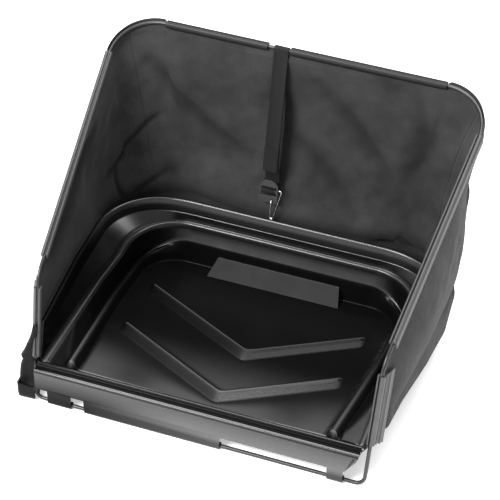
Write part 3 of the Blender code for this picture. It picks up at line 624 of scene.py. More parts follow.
def floor_grid():
    """Grid of (row, column): rows bend by the soft distance from the point, scaled to meet the sides."""
    middle, rise, _, _ = floor_rows()
    left, right = side_line(-1)[0], side_line(1)[0]
    inner = 0.5 - 0.5 * np.cos(math.pi * np.linspace(0, 1, 44))
    beyond = np.linspace(0, 1, 6)
    columns, depths, ends = [], [], []
    for sign, edge in ((-1, left), (1, right)):
        arm_end = np.minimum(ARM_HALF, np.abs(edge[:, 0]) - 0.010)
        along = APEX_X + (sign * arm_end - APEX_X)[:, None] * inner[None, :]
        past = sign * arm_end[:, None] + (edge[:, 0] - sign * arm_end)[:, None] * beyond[None, 1:]
        x = np.concatenate([along, past], axis=1)
        share = soft_distance(x - APEX_X) / soft_distance(edge[:, 0] - APEX_X)[:, None]
        columns.append(x)
        depths.append(middle[:, None] + (edge[:, 1] - middle)[:, None] * share)
        ends.append(ease((arm_end[:, None] - np.abs(x)) / 0.007))
    x = np.concatenate([columns[0][:, ::-1], columns[1][:, 1:]], axis=1)
    y = np.concatenate([depths[0][:, ::-1], depths[1][:, 1:]], axis=1)
    end = np.concatenate([ends[0][:, ::-1], ends[1][:, 1:]], axis=1)
    lift = rise[:, None] * end
    grain = (lift > 0.0003) * (lift < 0.0036) * (np.gradient(rise)[:, None] > 0) * ease((x - APEX_X) / 0.01) * end
    return np.stack([x, y, floor_height(y) + lift], axis=-1), grain


floor_points, floor_grain = floor_grid()
print("floor grid:", floor_points.shape, "rib crest height", round(float(RIB_RISE.max()) * 1000, 1), "mm")

# %% [markdown]
# ## The tray's wall
#
# From the edge of the floor the moulding rises over a soft rib, drops into a trough, climbs to a
# ledge with a bead, and goes on as the upstanding rim and the skirt outside it, round which the
# cloth lies. At the back the same nineteen corners lie closer together. Each corner of the
# section is a point out from the floor's edge and up. The side's section fades into the rear's
# round the corner, and every corner is rounded by a curve between points on its two sides.

# %% Section of the wall
UPRIGHT_LEAN = KINK_BACK / KINK_UP
RIM_BEHIND_WIRE, RIM_TUCKED = 0.0062, (0.2166, 0.2204)
CORNER_RADII = np.array([4, 4, 4, 3, 3, 5, 6, 7, 6, 5, 2.5, .8, .8, 3, 2.5, 2.5, 2]) / 1000
BEND_STEPS = 4


def skirt_foot(y):
    return 0.066 - 0.20 * np.maximum(0.0, y - 0.090)


def wall_roles(foot_y):
    """Corners of the side and the rear section: distance out and height, for each station."""
    f = floor_height(foot_y)
    rib = ease((foot_y - 0.0118) / 0.0040)
    inward = np.minimum(0.0205, 0.095 * np.maximum(0.0, foot_y - 0.019))
    ledge = 0.0430 - inward
    climb = np.minimum(0.0200 + np.minimum(0.0215, 1.15 * np.maximum(0.0, 0.0502 - f)), ledge - 0.0015)
    side = [(0, f), (.0020, f), (.0070, f + .0125 * rib), (.0125, f + .0128 * rib), (.0180, f + .0012),
            (.0195, f + .0010), (climb, .0502), (ledge, .0505), (ledge + .0020, .0526), (ledge + .0065, .0526),
            (ledge + .0100, .0490), (ledge + .0115, .0512), (.0562, .0640), (.0564, .0643), (.0578, .0765),
            (.0596, .0822), (.0648, .0822), (.0662, .0800), (.0680, skirt_foot(foot_y))]
    rear = [(0, f), (.0015, f), (.0050, f + .0110), (.0078, f + .0190), (.0105, .0300), (.0140, .0350),
            (.0200, .0440), (.0215, .0492), (.0232, .0526), (.0262, .0526), (.0275, .0508), (.0286, .0530),
            (.0291, .0638), (.0299, .0642), (.0309, .0745), (.0345, .0822), (.0372, .0822), (.0386, .0800),
            (.0400, -.0048)]
    flat = np.ones_like(foot_y)
    return [np.stack([np.stack([d * flat, z * flat], axis=-1) for d, z in roles], axis=1) for roles in (side, rear)]


def wall_stations():
    """Left side, rear and right side of the floor's edge, with outward direction and blend."""
    rear_edge = floor_points[-1, :, :2]
    inside = len(rear_edge) - 2
    parts = [side_line(-1), (rear_edge[1:-1], np.tile([0.0, 1.0], (inside, 1)), np.ones(inside)),
             tuple(a[::-1] for a in side_line(1))]
    return tuple(np.concatenate([part[k] for part in parts]) for k in range(3))


def wall_corners():
    """Corners in space: the blend of both sections, and a front that stands back behind the clip."""
    place, outward, blend = wall_stations()
    side, rear = wall_roles(place[:, 1])
    share = ease(blend)[:, None, None]
    section = (1 - share) * side + share * rear
    spread_out = place[:, None, :] + section[:, :, :1] * outward[:, None, :]
    points = np.concatenate([spread_out, section[:, :, 1:]], axis=-1)
    reach, first, last = 0.040, 11, points.shape[1] - 1
    free = ease((points[:, last, 1] - 0.014) / 0.026)
    for role in range(first, last + 1):
        x, y, z = points[:, role, 0], points[:, role, 1], points[:, role, 2]
        start = UPRIGHT_LEAN * z + RIM_BEHIND_WIRE
        pressed = start + (y - FLOOR_START) * (FLOOR_START + reach - start) / reach
        points[:, role, 1] = np.where(y < FLOOR_START + reach, np.maximum(y, pressed), y)
        tucked = np.sign(x) * (RIM_TUCKED[0] + (RIM_TUCKED[1] - RIM_TUCKED[0]) * (role - first) / (last - first))
        points[:, role, 0] = tucked * (1 - free) + x * free
    straight = blend == 0
    points[straight, -1, 2] = skirt_foot(points[straight, -1, 1])
    return points


def round_section(corners, radii, steps):
    """Each corner becomes a curve: (1-t)^2 A + 2 t (1-t) C + t^2 B, A and B at one radius from C."""
    before, corner, after = corners[:, :-2], corners[:, 1:-1], corners[:, 2:]
    to_before, to_after = before - corner, after - corner
    reach_before = np.minimum(0.48, radii[None, :] / np.linalg.norm(to_before, axis=2))[..., None]
    reach_after = np.minimum(0.48, radii[None, :] / np.linalg.norm(to_after, axis=2))[..., None]
    a, b = corner + to_before * reach_before, corner + to_after * reach_after
    t = np.linspace(0, 1, steps + 1)[None, None, :, None]
    bend = (1 - t) ** 2 * a[:, :, None] + 2 * t * (1 - t) * corner[:, :, None] + t ** 2 * b[:, :, None]
    return np.concatenate([corners[:, :1], bend.reshape(len(corners), -1, 3), corners[:, -1:]], axis=1)


wall_roles_points = wall_corners()
wall_points = round_section(wall_roles_points, CORNER_RADII, BEND_STEPS)
print("wall grid:", wall_points.shape, "rim at", round(float(wall_points[:, :, 2].max()) * 1000, 1), "mm")

# %% [markdown]
# ## One moulding
#
# Floor and wall share the points on the floor's edge, so merging doubles joins them into one open
# surface. Its faces must look up and inwards, because the Solidify modifier then adds the wall
# thickness on the other side, as the mould's core would.

# %% Build the pan
TRAY_WALL = 0.0020


def bell(t):
    return np.exp(-t * t)


def pan_painted_light_and_shade():
    """Painted light and painted shade for floor and wall: paler towards the mouth and on crests, beads and grained
    strips; a weaker mirror image at the back and in the hollows.
    """
    x, y = floor_points[..., 0], floor_points[..., 1]
    inside = ease((floor_half(y) - 0.001 - np.abs(x)) / 0.004)
    # Painted light on the floor: a pool of light towards the mouth with two darker spots in it, taken away over the
    # ribs, and painted highlights on the rib crests and the grained strips.
    two_darker_spots = 1 - 0.7 * bell(np.hypot(x + 0.095, y - 0.035) / 0.034) - 0.6 * bell(np.hypot(x - 0.110, y - 0.045) / 0.030)
    painted_light = 0.55 * (1 - ease(y / 0.135)) * two_darker_spots
    since = floor_rows()[0][:, None] - np.array(RIB_STARTS)[None, :]
    near_rib = (ease((since + 0.007) / 0.006) * ease((0.033 - since) / 0.007)).max(axis=1)[:, None]
    crest = bell((since - 0.0184) / 0.0013).max(axis=1)[:, None] * (floor_points[..., 2] - floor_height(y) > 0.004)
    painted_light = (painted_light * (1 - 0.85 * near_rib) + 0.60 * crest + 0.40 * floor_grain) * inside
    # Painted highlights on the wall: the side rib and the bead towards the front, and two bands at the back.
    column = np.arange(wall_points.shape[1])
    wall_x, wall_y = wall_points[..., 0], wall_points[..., 1]
    rear, left = ease((wall_y - 0.20) / 0.08), wall_x < 0
    front = 1 - ease((wall_y - 0.02) / 0.18)
    sides = (0.85 * bell((column - 11.5) / 2.6) + 0.55 * bell((column - 40) / 5.0)) * front
    back = (0.45 * bell((column - 70) / 3.5) + 0.35 * bell((column - 41) / 4.0)) * rear
    # Painted shade: a weaker mirror image at the back of the floor and the wall, in the left hollows and beside the
    # ribs.
    hollow = 1 - bell((column - 11.5) / 3.0) - bell((column - 40) / 5.0)
    wall_painted_shade = np.maximum(rear * (column < 20), 0.85 * left * hollow * (1 - rear))
    floor_painted_shade = np.maximum(ease((y - 0.03) / 0.12), 0.8 * near_rib * (1 - crest) * (1 - floor_grain))
    return painted_light, sides + back, floor_painted_shade, wall_painted_shade


floor_painted_light, wall_painted_light, floor_painted_shade, wall_painted_shade = pan_painted_light_and_shade()


def make_pan():
    # Painted light and highlights go into the pale value, and painted shade into the last value.
    pan = lay_surface("tray_pan", [floor_points, wall_points],
                      attributes={"grain": [floor_grain, np.zeros(wall_points.shape[:2])],
                                  "matt": [np.ones(floor_grain.shape), np.zeros(wall_points.shape[:2])],
                                  "pale": [floor_painted_light, wall_painted_light], "painted_shade": [floor_painted_shade, wall_painted_shade]}, smooth=50.0)
    normals = np.empty(3 * len(pan.data.polygons), np.float32)
    pan.data.polygons.foreach_get("normal", normals)
    if np.median(normals.reshape(-1, 3)[:floor_points.shape[0] * floor_points.shape[1], 2]) < 0:
        pan.data.flip_normals()
    wall = pan.modifiers.new("wall", "SOLIDIFY")
    wall.thickness, wall.offset = TRAY_WALL, -1.0
    return dress(pan, MOULDING, "moulded_plastic", "bag", "tray")


pan = make_pan()
print("pan:", len(pan.data.polygons), "faces")

# %% [markdown]
# ## The lip, the apron and the tabs
#
# Across the mouth the moulding turns over the foot bar: an inner bead, a flat band, an outer bead
# and a thin apron that hangs in front of the wire. From the apron three tabs run on and hook
# under the bar. The lip has one section all along, so it is carried from side to side, and only
# its ends change: the apron narrows downwards there, and at the right it turns back in a curved
# wall. At the left a small curved plate beside the upright holds the cloth's corner. A slab with
# a closed section is made by going along one skin and back along the other.

# %% Lip, apron, tabs and the grip facet
LIP_LEFT, LIP_BEHIND, LIP_RIGHT, APRON_FOOT, TAB_OUTER = 0.2173, 0.2235, 0.2130, 0.0185, 0.0048
APRON_END_Z = np.array([0.0050, 0.0168, 0.0280, 0.0373, 0.0467, 0.0500, 0.0521])
APRON_END_X = np.array([0.1952, 0.1956, 0.1965, 0.1998, 0.2069, 0.2105, 0.2130])


def lip_outline():
    f = floor_height
    points = [(.0200, f(.0200) - .0011), (.0150, f(.0150) - .0010), (.0125, .0533), (.0100, .0553), (.0072, .0553),
              (.0050, .0524), (.0015, .0509), (-.0010, .0518), (-.0036, .0513), (-.0057, .0488), (-.0058, .0470),
              (-.0048, .0456), (-.0048, APRON_FOOT), (-.0026, APRON_FOOT), (-.0026, .0440), (.0020, .0478),
              (.0120, f(.0120) - .0035), (.0200, f(.0200) - .0030)]
    radii = [0, .002, .0015, .0014, .0014, .0015, .0016, .0012, .0013, .0012, .0008, .0012,
             .0006, .0006, .001, .001, .001, 0]
    flat = [(0.0, y, z) for y, z in points]
    return round_corners(flat, radii, [3] * len(points))


def across(outline, half_left, half_right, columns=40):
    """Section carried from side to side; the ends may differ for every point of the section."""
    share = np.linspace(0, 1, columns)[:, None]
    x = -half_left[None, :] * (1 - share) + half_right[None, :] * share
    y, z = np.broadcast_to(outline[:, 1], x.shape), np.broadcast_to(outline[:, 2], x.shape)
    return np.stack([x, y, z], axis=-1)


def slab(grid, step):
    """Closed ring from one skin and the same skin moved by a step, for lay_surface with wrap_v."""
    return np.concatenate([grid, (grid + step)[:, ::-1]], axis=1)


def tab_grid(x_from, x_to):
    """Tab: straight down in front of the bar, then round under it by five eighths of a turn."""
    inner = WIRE_RADIUS + 0.0003
    turn = math.pi + 1.25 * math.pi * np.linspace(0, 1, 22)[:, None]
    outer_bend = TAB_OUTER * np.concatenate([np.cos(turn), np.sin(turn)], axis=1)
    inner_bend = inner * np.concatenate([np.cos(turn), np.sin(turn)], axis=1)[::-1]
    flat = np.concatenate([[(-TAB_OUTER, .0215), (-TAB_OUTER - .0004, .0190), (-TAB_OUTER, .0150), (-TAB_OUTER, .0060)],
                           outer_bend, inner_bend, [(-.0026, .0050), (-.0026, .0215)]])
    ends = np.array([x_from, x_from + .0006, x_to - .0006, x_to])
    shrink = np.array([0.93, 1.0, 1.0, 0.93])
    middle = (flat + np.roll(flat, 1, axis=0)).mean(axis=0) / 2
    x = np.broadcast_to(ends[:, None], (4, len(flat)))
    yz = middle + (flat - middle)[None] * shrink[:, None, None]
    yz[:, :, 0] = flat[None, :, 0] + (yz[:, :, 0] - flat[None, :, 0]) * 0.2
    return np.concatenate([x[..., None], yz], axis=-1)


def return_grid(sign):
    """Curved wall from the apron's end back under the tray: straight lines between two curves."""
    front = np.array([(.2085, .0515), (.2069, .0467), (.1998, .0373), (.1965, .0280), (.1956, .0190)])
    back = np.array([(.2166, .0480), (.2120, .0400), (.2078, .0290), (.2052, .0200), (.2025, .0160)])
    share = np.linspace(0, 1, 24)
    ticks = np.linspace(0, 1, 5)
    curves = [np.stack([np.interp(share, ticks, c[:, k]) for k in (0, 1)], axis=1) for c in (front, back)]
    depth = np.linspace(0, 1, 8)
    flat = curves[0][:, None] * (1 - depth)[None, :, None] + curves[1][:, None] * depth[None, :, None]
    y = -0.0046 + 0.0186 * np.broadcast_to(depth, flat.shape[:2])
    grid = np.stack([sign * flat[..., 0], y, flat[..., 1]], axis=-1)
    return slab(grid, np.array([-sign * 0.0016, 0.0, -0.0002]))


def grip_grid():
    """Wedge at the foot of the rear wall; its half width shrinks from 93 to 86 mm as it rises."""
    near, far = 0.280, 0.3055
    section = [(0, near, floor_height(near) + .0002), (0, far, .0203), (0, far + .004, .0206), (0, far + .004, .0010),
               (0, near + .004, floor_height(near) - .0012)]
    outline = round_corners(section, [0, .0010, .0005, 0, 0], [1, 4, 2, 1, 1], closed=True)
    outline = fill_in(outline, 0.0012, closed=True)
    half = np.interp(outline[:, 2], [floor_height(near), .0203], [.0930, .0860])
    return across(outline, half, half, 30)


def apron_painted_light_and_shade(grid):
    """Painted light on the apron's face, paler to the right, and painted shade that weakens the mirror image low down
    on the left and on the band between the beads.
    """
    x, y, z = grid[..., 0], grid[..., 1], grid[..., 2]
    face = (y < -0.0035) & (z < 0.0450)
    right = ease((x + 0.150) / 0.150)
    band = (y > -0.0012) & (y < 0.0078) & (z > 0.0495)
    pale = face * (0.03 + 0.97 * right) * (z > 0.006)
    return pale, face * (1 - right) * ease((0.046 - z) / 0.020) * 0.95 + 1.0 * band


def plate_grid():
    """Plate beside the left upright that holds the cloth's corner: a curved strip with a thick foot."""
    bent = round_corners([(-.2188, -.0032, 0), (-.2412, -.0042, 0), (-.2416, .0120, 0)], (0, .003, 0), (0, 8, 0))
    path = fill_in(bent, 0.003)
    along = unit(np.gradient(path, axis=0))
    outward = np.stack([along[:, 1], -along[:, 0], along[:, 2] * 0], axis=1)
    section = [(0, .0205), (.0002, .0050), (.0010, .0040), (.0012, .0005), (.0004, -.0012), (-.0020, -.0012),
               (-.0024, .0040), (-.0024, .0205)]
    radii = [.0004, .001, .0006, .001, .0008, .0008, .001, .0004]
    outline = round_corners([(0, d, z) for d, z in section], radii, [2] * len(section), closed=True)
    return path[:, None] + outward[:, None] * outline[None, :, 1:2] + np.array([0, 0, 1.0]) * outline[None, :, 2:]


def make_lip():
    outline = lip_outline()
    half = np.interp(outline[:, 2], APRON_END_Z, APRON_END_X)
    half = np.where(outline[:, 2] > 0.0465, LIP_RIGHT, half)
    tabs = ((-.2010, -.1690), (-.1510, .0320), (.1730, .1935))
    left_half = np.where(outline[:, 1] > 0.0085, LIP_BEHIND, LIP_LEFT)
    grids = [across(outline, left_half, half)] + [tab_grid(a, b) for a, b in tabs]
    grids += [return_grid(1), grip_grid(), plate_grid()]
    # Painted light and painted shade for each piece of the lip.
    tones = [apron_painted_light_and_shade(g) for g in grids]
    lip = lay_surface("tray_lip", grids, wrap_v=True, caps=True,
                      attributes={"pale": [t[0] for t in tones], "painted_shade": [t[1] for t in tones]}, smooth=42.0)
    return dress(lip, MOULDING, "moulded_plastic", "bag", "tray")


lip = make_lip()
print("lip:", len(lip.data.polygons), "faces, widths", [round(v, 3) for v in lip.dimensions])

# %% [markdown]
# ## The wire frame
#
# One piece of 5 mm wire is bent into a frame with a foot bar, two uprights that kink backwards at
# about half height, and a top bar. Its centre line is a closed polygon with round corners, and a
# circle is carried along it.

# %% Wire
def wire_corners():
    left = [(-FOOT_HALF, 0, 0), (-KINK_HALF, KINK_BACK, KINK_UP), (-TOP_HALF, TOP_BACK, TOP_UP)]
    return np.array(left + [(-x, y, z) for x, y, z in left[::-1]])


WIRE_BENDS = (0.012, 0.035, 0.058, 0.058, 0.035, 0.012)


def make_wire():
    path = fill_in(round_corners(wire_corners(), WIRE_BENDS, (10, 10, 28, 28, 10, 10), closed=True), 0.008, closed=True)
    grid = sweep(path, circle(WIRE_RADIUS, 20), (0.0, 1.0, 0.0), closed=True)
    wire = lay_surface("wire_run", [grid], wrap_u=True, wrap_v=True, smooth=80.0)
    return dress(wire, COAT, "coated_wire", "bag", "wire_frame")


wire = make_wire()
print("wire:", len(wire.data.polygons), "faces")

# %% [markdown]
# ## The clip profiles
#
# Each edge of the cloth is sewn to the flange of an extruded plastic profile, whose other side is
# an open tube that snaps over the wire. There are six lengths of it. The section is drawn once,
# with a rounded flange and soft mouth edges, and carried along each straight stretch of wire.

# %% Clip profiles
CLIP_OUTER, CLIP_INNER, CLIP_FLANGE, CLIP_SHEET, CLIP_MOUTH = 0.0054, 0.0028, 0.0125, 0.0014, math.radians(142)


def clip_section():
    """Tube wall from mouth to mouth, with the flange between its outer halves."""
    half = CLIP_SHEET / 2
    start = math.asin(half / CLIP_OUTER)
    rise = np.linspace(start, CLIP_MOUTH, 16)
    back = np.linspace(CLIP_MOUTH, -CLIP_MOUTH, 30)
    lip_turn = np.linspace(0, math.pi, 6)[1:-1]
    wall, middle = (CLIP_OUTER - CLIP_INNER) / 2, (CLIP_OUTER + CLIP_INNER) / 2
    at = lambda turn, radius: np.stack([radius * np.cos(turn), radius * np.sin(turn)], axis=1)
    near_lip = at(CLIP_MOUTH + wall / middle * np.sin(lip_turn), middle + wall * np.cos(lip_turn))
    far_lip = near_lip[::-1] * (1, -1)
    tip = np.linspace(-math.pi / 2, math.pi / 2, 7)
    flange = np.stack([CLIP_FLANGE - half + half * np.cos(tip), half * np.sin(tip)], axis=1)
    groove = np.array([(0.0088, half), (0.0084, half - 0.0003), (0.0080, half)])
    return np.concatenate([flange, groove, at(rise, CLIP_OUTER), near_lip, at(back, CLIP_INNER), far_lip,
                           at(-rise[::-1], CLIP_OUTER), groove[::-1] * (1, -1)])


def side_axes(side, along):
    """Flange direction and outward direction across a side wire."""
    out = np.array([side, 0.0, 0.0])
    out = unit(out - along * (out @ along))
    back = unit(np.cross(along, out) * side)
    back = back * (1 if back[1] > 0 else -1)
    flange = unit(0.35 * out + back)
    return flange, unit(out - flange * (out @ flange))


TOP_AXES = unit((0.0, -0.26, -1.0)), unit((0.0, 1.0, -0.26))
STRAP_X, STRAP_WIDTH = -0.030, 0.020
NOTCH_X, NOTCH_HALF = -0.0330, 0.0175


def wire_point(side, t):
    """Point on the unrounded side of the frame: t is 0 at the foot, 1 at the kink, 2 at the top."""
    foot, kink, top = wire_corners()[:3] * (-side, 1, 1)
    return foot + (kink - foot) * t if t <= 1 else kink + (top - kink) * (t - 1)


def cover_section():
    """Second flange outside the cloth, with a rib along its middle; the cloth is gripped between both."""
    inner = [(0.0036, 0.0038), (0.0060, 0.0024), (0.0200, 0.0026), (0.0212, 0.0032)]
    outer = [(0.0212, 0.0042), (0.0200, 0.0040), (0.0150, 0.0036), (0.0140, 0.0050), (0.0122, 0.0056),
             (0.0110, 0.0040), (0.0090, 0.0034), (0.0068, 0.0036), (0.0052, 0.0050), (0.0042, 0.0050)]
    flat = [(0.0, u, v) for u, v in inner + outer]
    radii = [.0003, .001, .001, .0004, .0004, .0006, .0006, .0006, .0006, .0006, .0008, .0008, .0005, .0003]
    return round_corners(flat, radii, [2] * len(flat), closed=True)[:, 1:]


def make_clip(name, start, end, flange, outward, covered=False):
    count = max(8, int(np.linalg.norm(end - start) / 0.010))
    share = np.linspace(0, 1, count)[:, None, None]
    grids = []
    for section, slant in ((clip_section(), 0.0), (cover_section(), 0.25))[:1 + covered]:
        ring = section[:, :1] * flange + section[:, 1:] * outward
        line = start + (end - start) * share
        lag = unit(end - start) * (section[:, :1] - 0.004) * slant
        grids.append(line + ring[None] - lag[None] * (1 - 2 * share))
    clip = lay_surface(name + "_profile", grids, wrap_v=True, caps=True, smooth=35.0)
    lay_metres(clip, grids)
    # The two top profiles take the copy with painted shade.
    return dress(clip, TOP_PROFILE_PAINTED_SHADE if "top" in name else PROFILE, "clip_plastic", "bag", name)


def make_clips():
    clips = []
    for side, word in ((-1, "left"), (1, "right")):
        for t_from, t_to, piece in ((0.345, 0.912, "upright"), (1.075, 1.845, "slant")):
            start, end = wire_point(side, t_from), wire_point(side, t_to)
            flange, outward = side_axes(side, unit(end - start))
            clips.append(make_clip("clip_" + piece + "_" + word, start, end, flange, outward, piece == "upright"))
    reach, room = TOP_HALF - WIRE_BENDS[2] - 0.006, STRAP_WIDTH / 2 + 0.0012
    for name, x_from, x_to in (("clip_top_left", -reach, STRAP_X - room - 0.008), ("clip_top_right", STRAP_X + room, reach)):
        ends = [np.array([x, TOP_BACK, TOP_UP]) for x in (x_from, x_to)]
        clips.append(make_clip(name, *ends, *TOP_AXES))
    return clips


clips = make_clips()
print("clips:", [c.name for c in clips])

# %% [markdown]
# ## The cloth
#
# Three panels of woven polyester make the bag: two sides and a back. They hang from the wire and
# lie round the outside of the tray's skirt. A cloth simulation could find such a shape, but here
# both edges are fixed and the cloth is nearly taut, so the shape is worked out: for each place
# along the wire there is a line down to the rim and on to the foot of the skirt, and the cloth
# stands off that line by a fullness that is largest in the middle and near the rear corners. At
# the top corners, where no clip sits, the hem lies over the outside of the wire.

# %% Lines of the cloth
CLOTH_GAP, CLOTH_THICK, SEAM_GAP, HEM_ROWS = 0.0012, 0.0009, 0.0003, 9
SIDE_SAG, BACK_SAG, BACK_FULLNESS = 0.012, 0.021, 0.005
CORNER_FULLNESS, CORNER_SPREAD = 0.028, 0.105
PULL_AT = np.array([0.0, 0.20, 0.45, 0.60, 0.76, 0.93, 1.10, 1.30, 1.65, 2.0])
PULL = np.array([0.0, -0.22, 0.02, 0.16, 0.46, 0.28, 0.74, 1.0, 0.75, 0.3])


def soft_curve(x, knots, values):
    """Smooth line through points: cubic pieces whose slope at a knot is that between its neighbours."""
    slopes = np.gradient(values, knots)
    k = np.clip(np.searchsorted(knots, x, side="right") - 1, 0, len(knots) - 2)
    width = knots[k + 1] - knots[k]
    t = (x - knots[k]) / width
    stay, go = 2 * t ** 3 - 3 * t ** 2 + 1, 3 * t ** 2 - 2 * t ** 3
    leave, arrive = t ** 3 - 2 * t ** 2 + t, t ** 3 - t ** 2
    return stay * values[k] + go * values[k + 1] + width * (leave * slopes[k] + arrive * slopes[k + 1])


def half_wire():
    """Left half of the wire from the foot of the clip to the middle of the top bar, with its run."""
    corners = [wire_point(-1, 0.31), wire_point(-1, 1), wire_point(-1, 2), np.array([0.0, TOP_BACK, TOP_UP])]
    path = fill_in(round_corners(corners, (0, WIRE_BENDS[1], WIRE_BENDS[2], 0), (0, 14, 34, 0)), 0.0030)
    run = np.concatenate([[0], np.cumsum(np.linalg.norm(np.diff(path, axis=0), axis=1))])
    return path, run


def hanging_axes(path):
    """Flange and outward directions along the wire, blended by how far the wire has turned."""
    along = unit(np.gradient(path, axis=0))
    up, slant = [unit(wire_point(-1, k + 1) - wire_point(-1, k)) for k in (0, 1)]
    top = np.array([1.0, 0, 0])
    turned = lambda a, b: np.clip(np.arccos(np.clip(along @ a, -1, 1)) / math.acos(a @ b), 0, 1)
    first = turned(up, slant)[:, None]
    second = np.where(path[:, 1] > 0.2, turned(slant, top), 0.0)[:, None]
    first = np.where(path[:, 1:2] > 0.1, 1.0, first)
    frames = [side_axes(-1, up), side_axes(-1, slant), TOP_AXES]
    flange, outward = [(1 - second) * ((1 - first) * a + first * b) + second * c for a, b, c in zip(*frames)]
    flange = unit(flange)
    return flange, unit(outward - flange * np.sum(outward * flange, axis=1, keepdims=True))


def skirt_track():
    """Outside of the skirt on the left half: its top, its foot, share of its length, share at the corner."""
    left = wall_roles_points[:, 18, 0] < -0.002
    top, foot = [np.concatenate([line[left], line[left][-1:] * (0, 1, 1)])
                 for line in (wall_roles_points[:, 17], wall_roles_points[:, 18])]
    run = np.concatenate([[0], np.cumsum(np.linalg.norm(np.diff(foot, axis=0), axis=1))])
    corner = np.interp(0.625, wall_stations()[2][left], run[:-1])
    return top, foot, run / run[-1], corner / run[-1]


def cloth_half():
    """Grid of the left half: station along the wire by line downwards, and where the seam is."""
    path, run = half_wire()
    flange, outward = hanging_axes(path)
    arc_middle = round_corners([wire_point(-1, 1), wire_point(-1, 2), np.array([0.0, TOP_BACK, TOP_UP])],
                               (0, WIRE_BENDS[2], 0), (0, 2, 0))[2]
    seam = int(np.argmin(np.linalg.norm(path - arc_middle, axis=1)))
    top, foot, track, corner = skirt_track()
    share = np.where(run <= run[seam], corner * run / run[seam],
                     corner + (1 - corner) * (run - run[seam]) / (run[-1] - run[seam]))
    pick = lambda line: np.stack([np.interp(share, track, line[:, k]) for k in range(3)], axis=1)
    rim, low = pick(top), pick(foot)
    centre = np.array([-(floor_half(FLOOR_END) - REAR_ARC), FLOOR_END - REAR_ARC])
    away = np.stack([np.minimum(0, low[:, 0] - centre[0]), np.maximum(0, low[:, 1] - centre[1])], axis=1)
    push = np.concatenate([unit(away + (1e-9, 0)), np.zeros((len(run), 1))], axis=1)
    push[:, :2] = np.where(low[:, 1:2] <= centre[1], (-1.0, 0.0), push[:, :2])
    low, rim = low + push * CLOTH_GAP, rim + push * (CLOTH_GAP + 0.0004)
    inner = CLIP_SHEET / 2 + SEAM_GAP + CLOTH_THICK
    past = path + flange * (CLIP_FLANGE + 0.001) - outward * inner
    down = np.clip((rim[:, 2:] - past[:, 2:] + 0.024) / (rim[:, 2:] - low[:, 2:]), 0.0, 0.85)
    down = np.where(past[:, 2:] < 0.105, down, 0.0)
    rim = rim + (low - rim) * down + push * 0.0008 * (down > 0)

    clip_end, clip_start = wire_point(-1, 1.845), np.array([-(TOP_HALF - WIRE_BENDS[2] - 0.006), TOP_BACK, TOP_UP])
    bare_from, bare_to = [run[np.argmin(np.linalg.norm(path - p, axis=1))] for p in (clip_end, clip_start)]
    bare = (ease((run - bare_from + 0.006) / 0.008) * ease((bare_to + 0.006 - run) / 0.008))[:, None, None]
    hem = np.linspace(0, 1, HEM_ROWS)[None, :, None]
    start = 0.0063 * (1 - bare) - 0.0046 * bare
    reach = start + (CLIP_FLANGE + 0.001 - start) * hem
    lift = (0.0034 + inner) * bare * (1 - ease((reach + 0.001) / 0.011)) - inner
    hem_rows = path[:, None] + flange[:, None] * reach + outward[:, None] * lift

    s = np.concatenate([np.linspace(0, 0.14, 14)[1:], np.linspace(0.14, 1, 72)[1:], 1 + np.linspace(0, 1, 26)[1:]])
    s = s[None, :, None]
    panel, skirt = np.minimum(s, 1), np.maximum(s - 1, 0)
    slack = np.minimum(1, np.linalg.norm(rim - past, axis=1) / 0.12)[:, None, None]
    near = (np.exp(-((run - run[seam]) / CORNER_SPREAD) ** 2))[:, None, None] * slack
    back = (push[:, 1] ** 2)[:, None, None]
    sag = SIDE_SAG * (1 + (BACK_SAG / SIDE_SAG - 1) * back)
    full = BACK_FULLNESS * back * slack * np.where(s <= 1, panel ** 2, 1 - skirt)
    arch = 4 * panel * (1 - panel)
    pulled = CORNER_FULLNESS * soft_curve(s, PULL_AT, PULL) + 0.002 * arch
    bulge = sag * arch * slack * (1 - near) + near * pulled + full
    lines = past[:, None] + (rim - past)[:, None] * panel + (low - rim)[:, None] * skirt + push[:, None] * bulge
    return np.concatenate([hem_rows, lines], axis=1), run, seam


cloth_left, cloth_run, cloth_seam = cloth_half()
print("cloth half:", cloth_left.shape, "seam at", round(float(cloth_run[cloth_seam]) * 1000), "mm along the wire")

# %% [markdown]
# ## Fullness and creases
#
# Cloth that is cut a little large shows soft ripples, broad folds and a few sharp creases. Each
# of these folds and creases is a line of points on the cloth, given as how far along the wire and
# how far down the cloth each lies, in metres. The cloth moves along its own normal, by a depth that
# dies away across the line like a bell curve, and the same value paints shade into the weave there.
# Shade is also painted along the rim and over a part of the left and of the right of the cloth.
# The left panel also has a corner that stands out in front of the wire, which is a sheet of its own.

# %% Three panels
def cloth_full():
    mirrored = cloth_left[::-1][1:] * (-1.0, 1.0, 1.0)
    grid = np.concatenate([cloth_left, mirrored])
    hem = grid[:, :HEM_ROWS]
    notch = ease((NOTCH_HALF - np.abs(hem[..., :1] - NOTCH_X)) / 0.003) * ease((hem[..., 2:] - 0.25) / 0.02)
    notch = notch * np.linspace(1, 0, HEM_ROWS)[None, :, None]
    hem += notch * (0.0030 * TOP_AXES[1] - 0.0060 * TOP_AXES[0])
    run = np.concatenate([cloth_run, 2 * cloth_run[-1] - cloth_run[::-1][1:]])
    drop = lengths_along(grid, 1)
    normal = unit(np.cross(np.gradient(grid, axis=0), np.gradient(grid, axis=1)))
    if normal[len(grid) // 2, 30, 1] < 0:
        normal = -normal
    return grid, np.broadcast_to(run[:, None], drop.shape), drop, normal


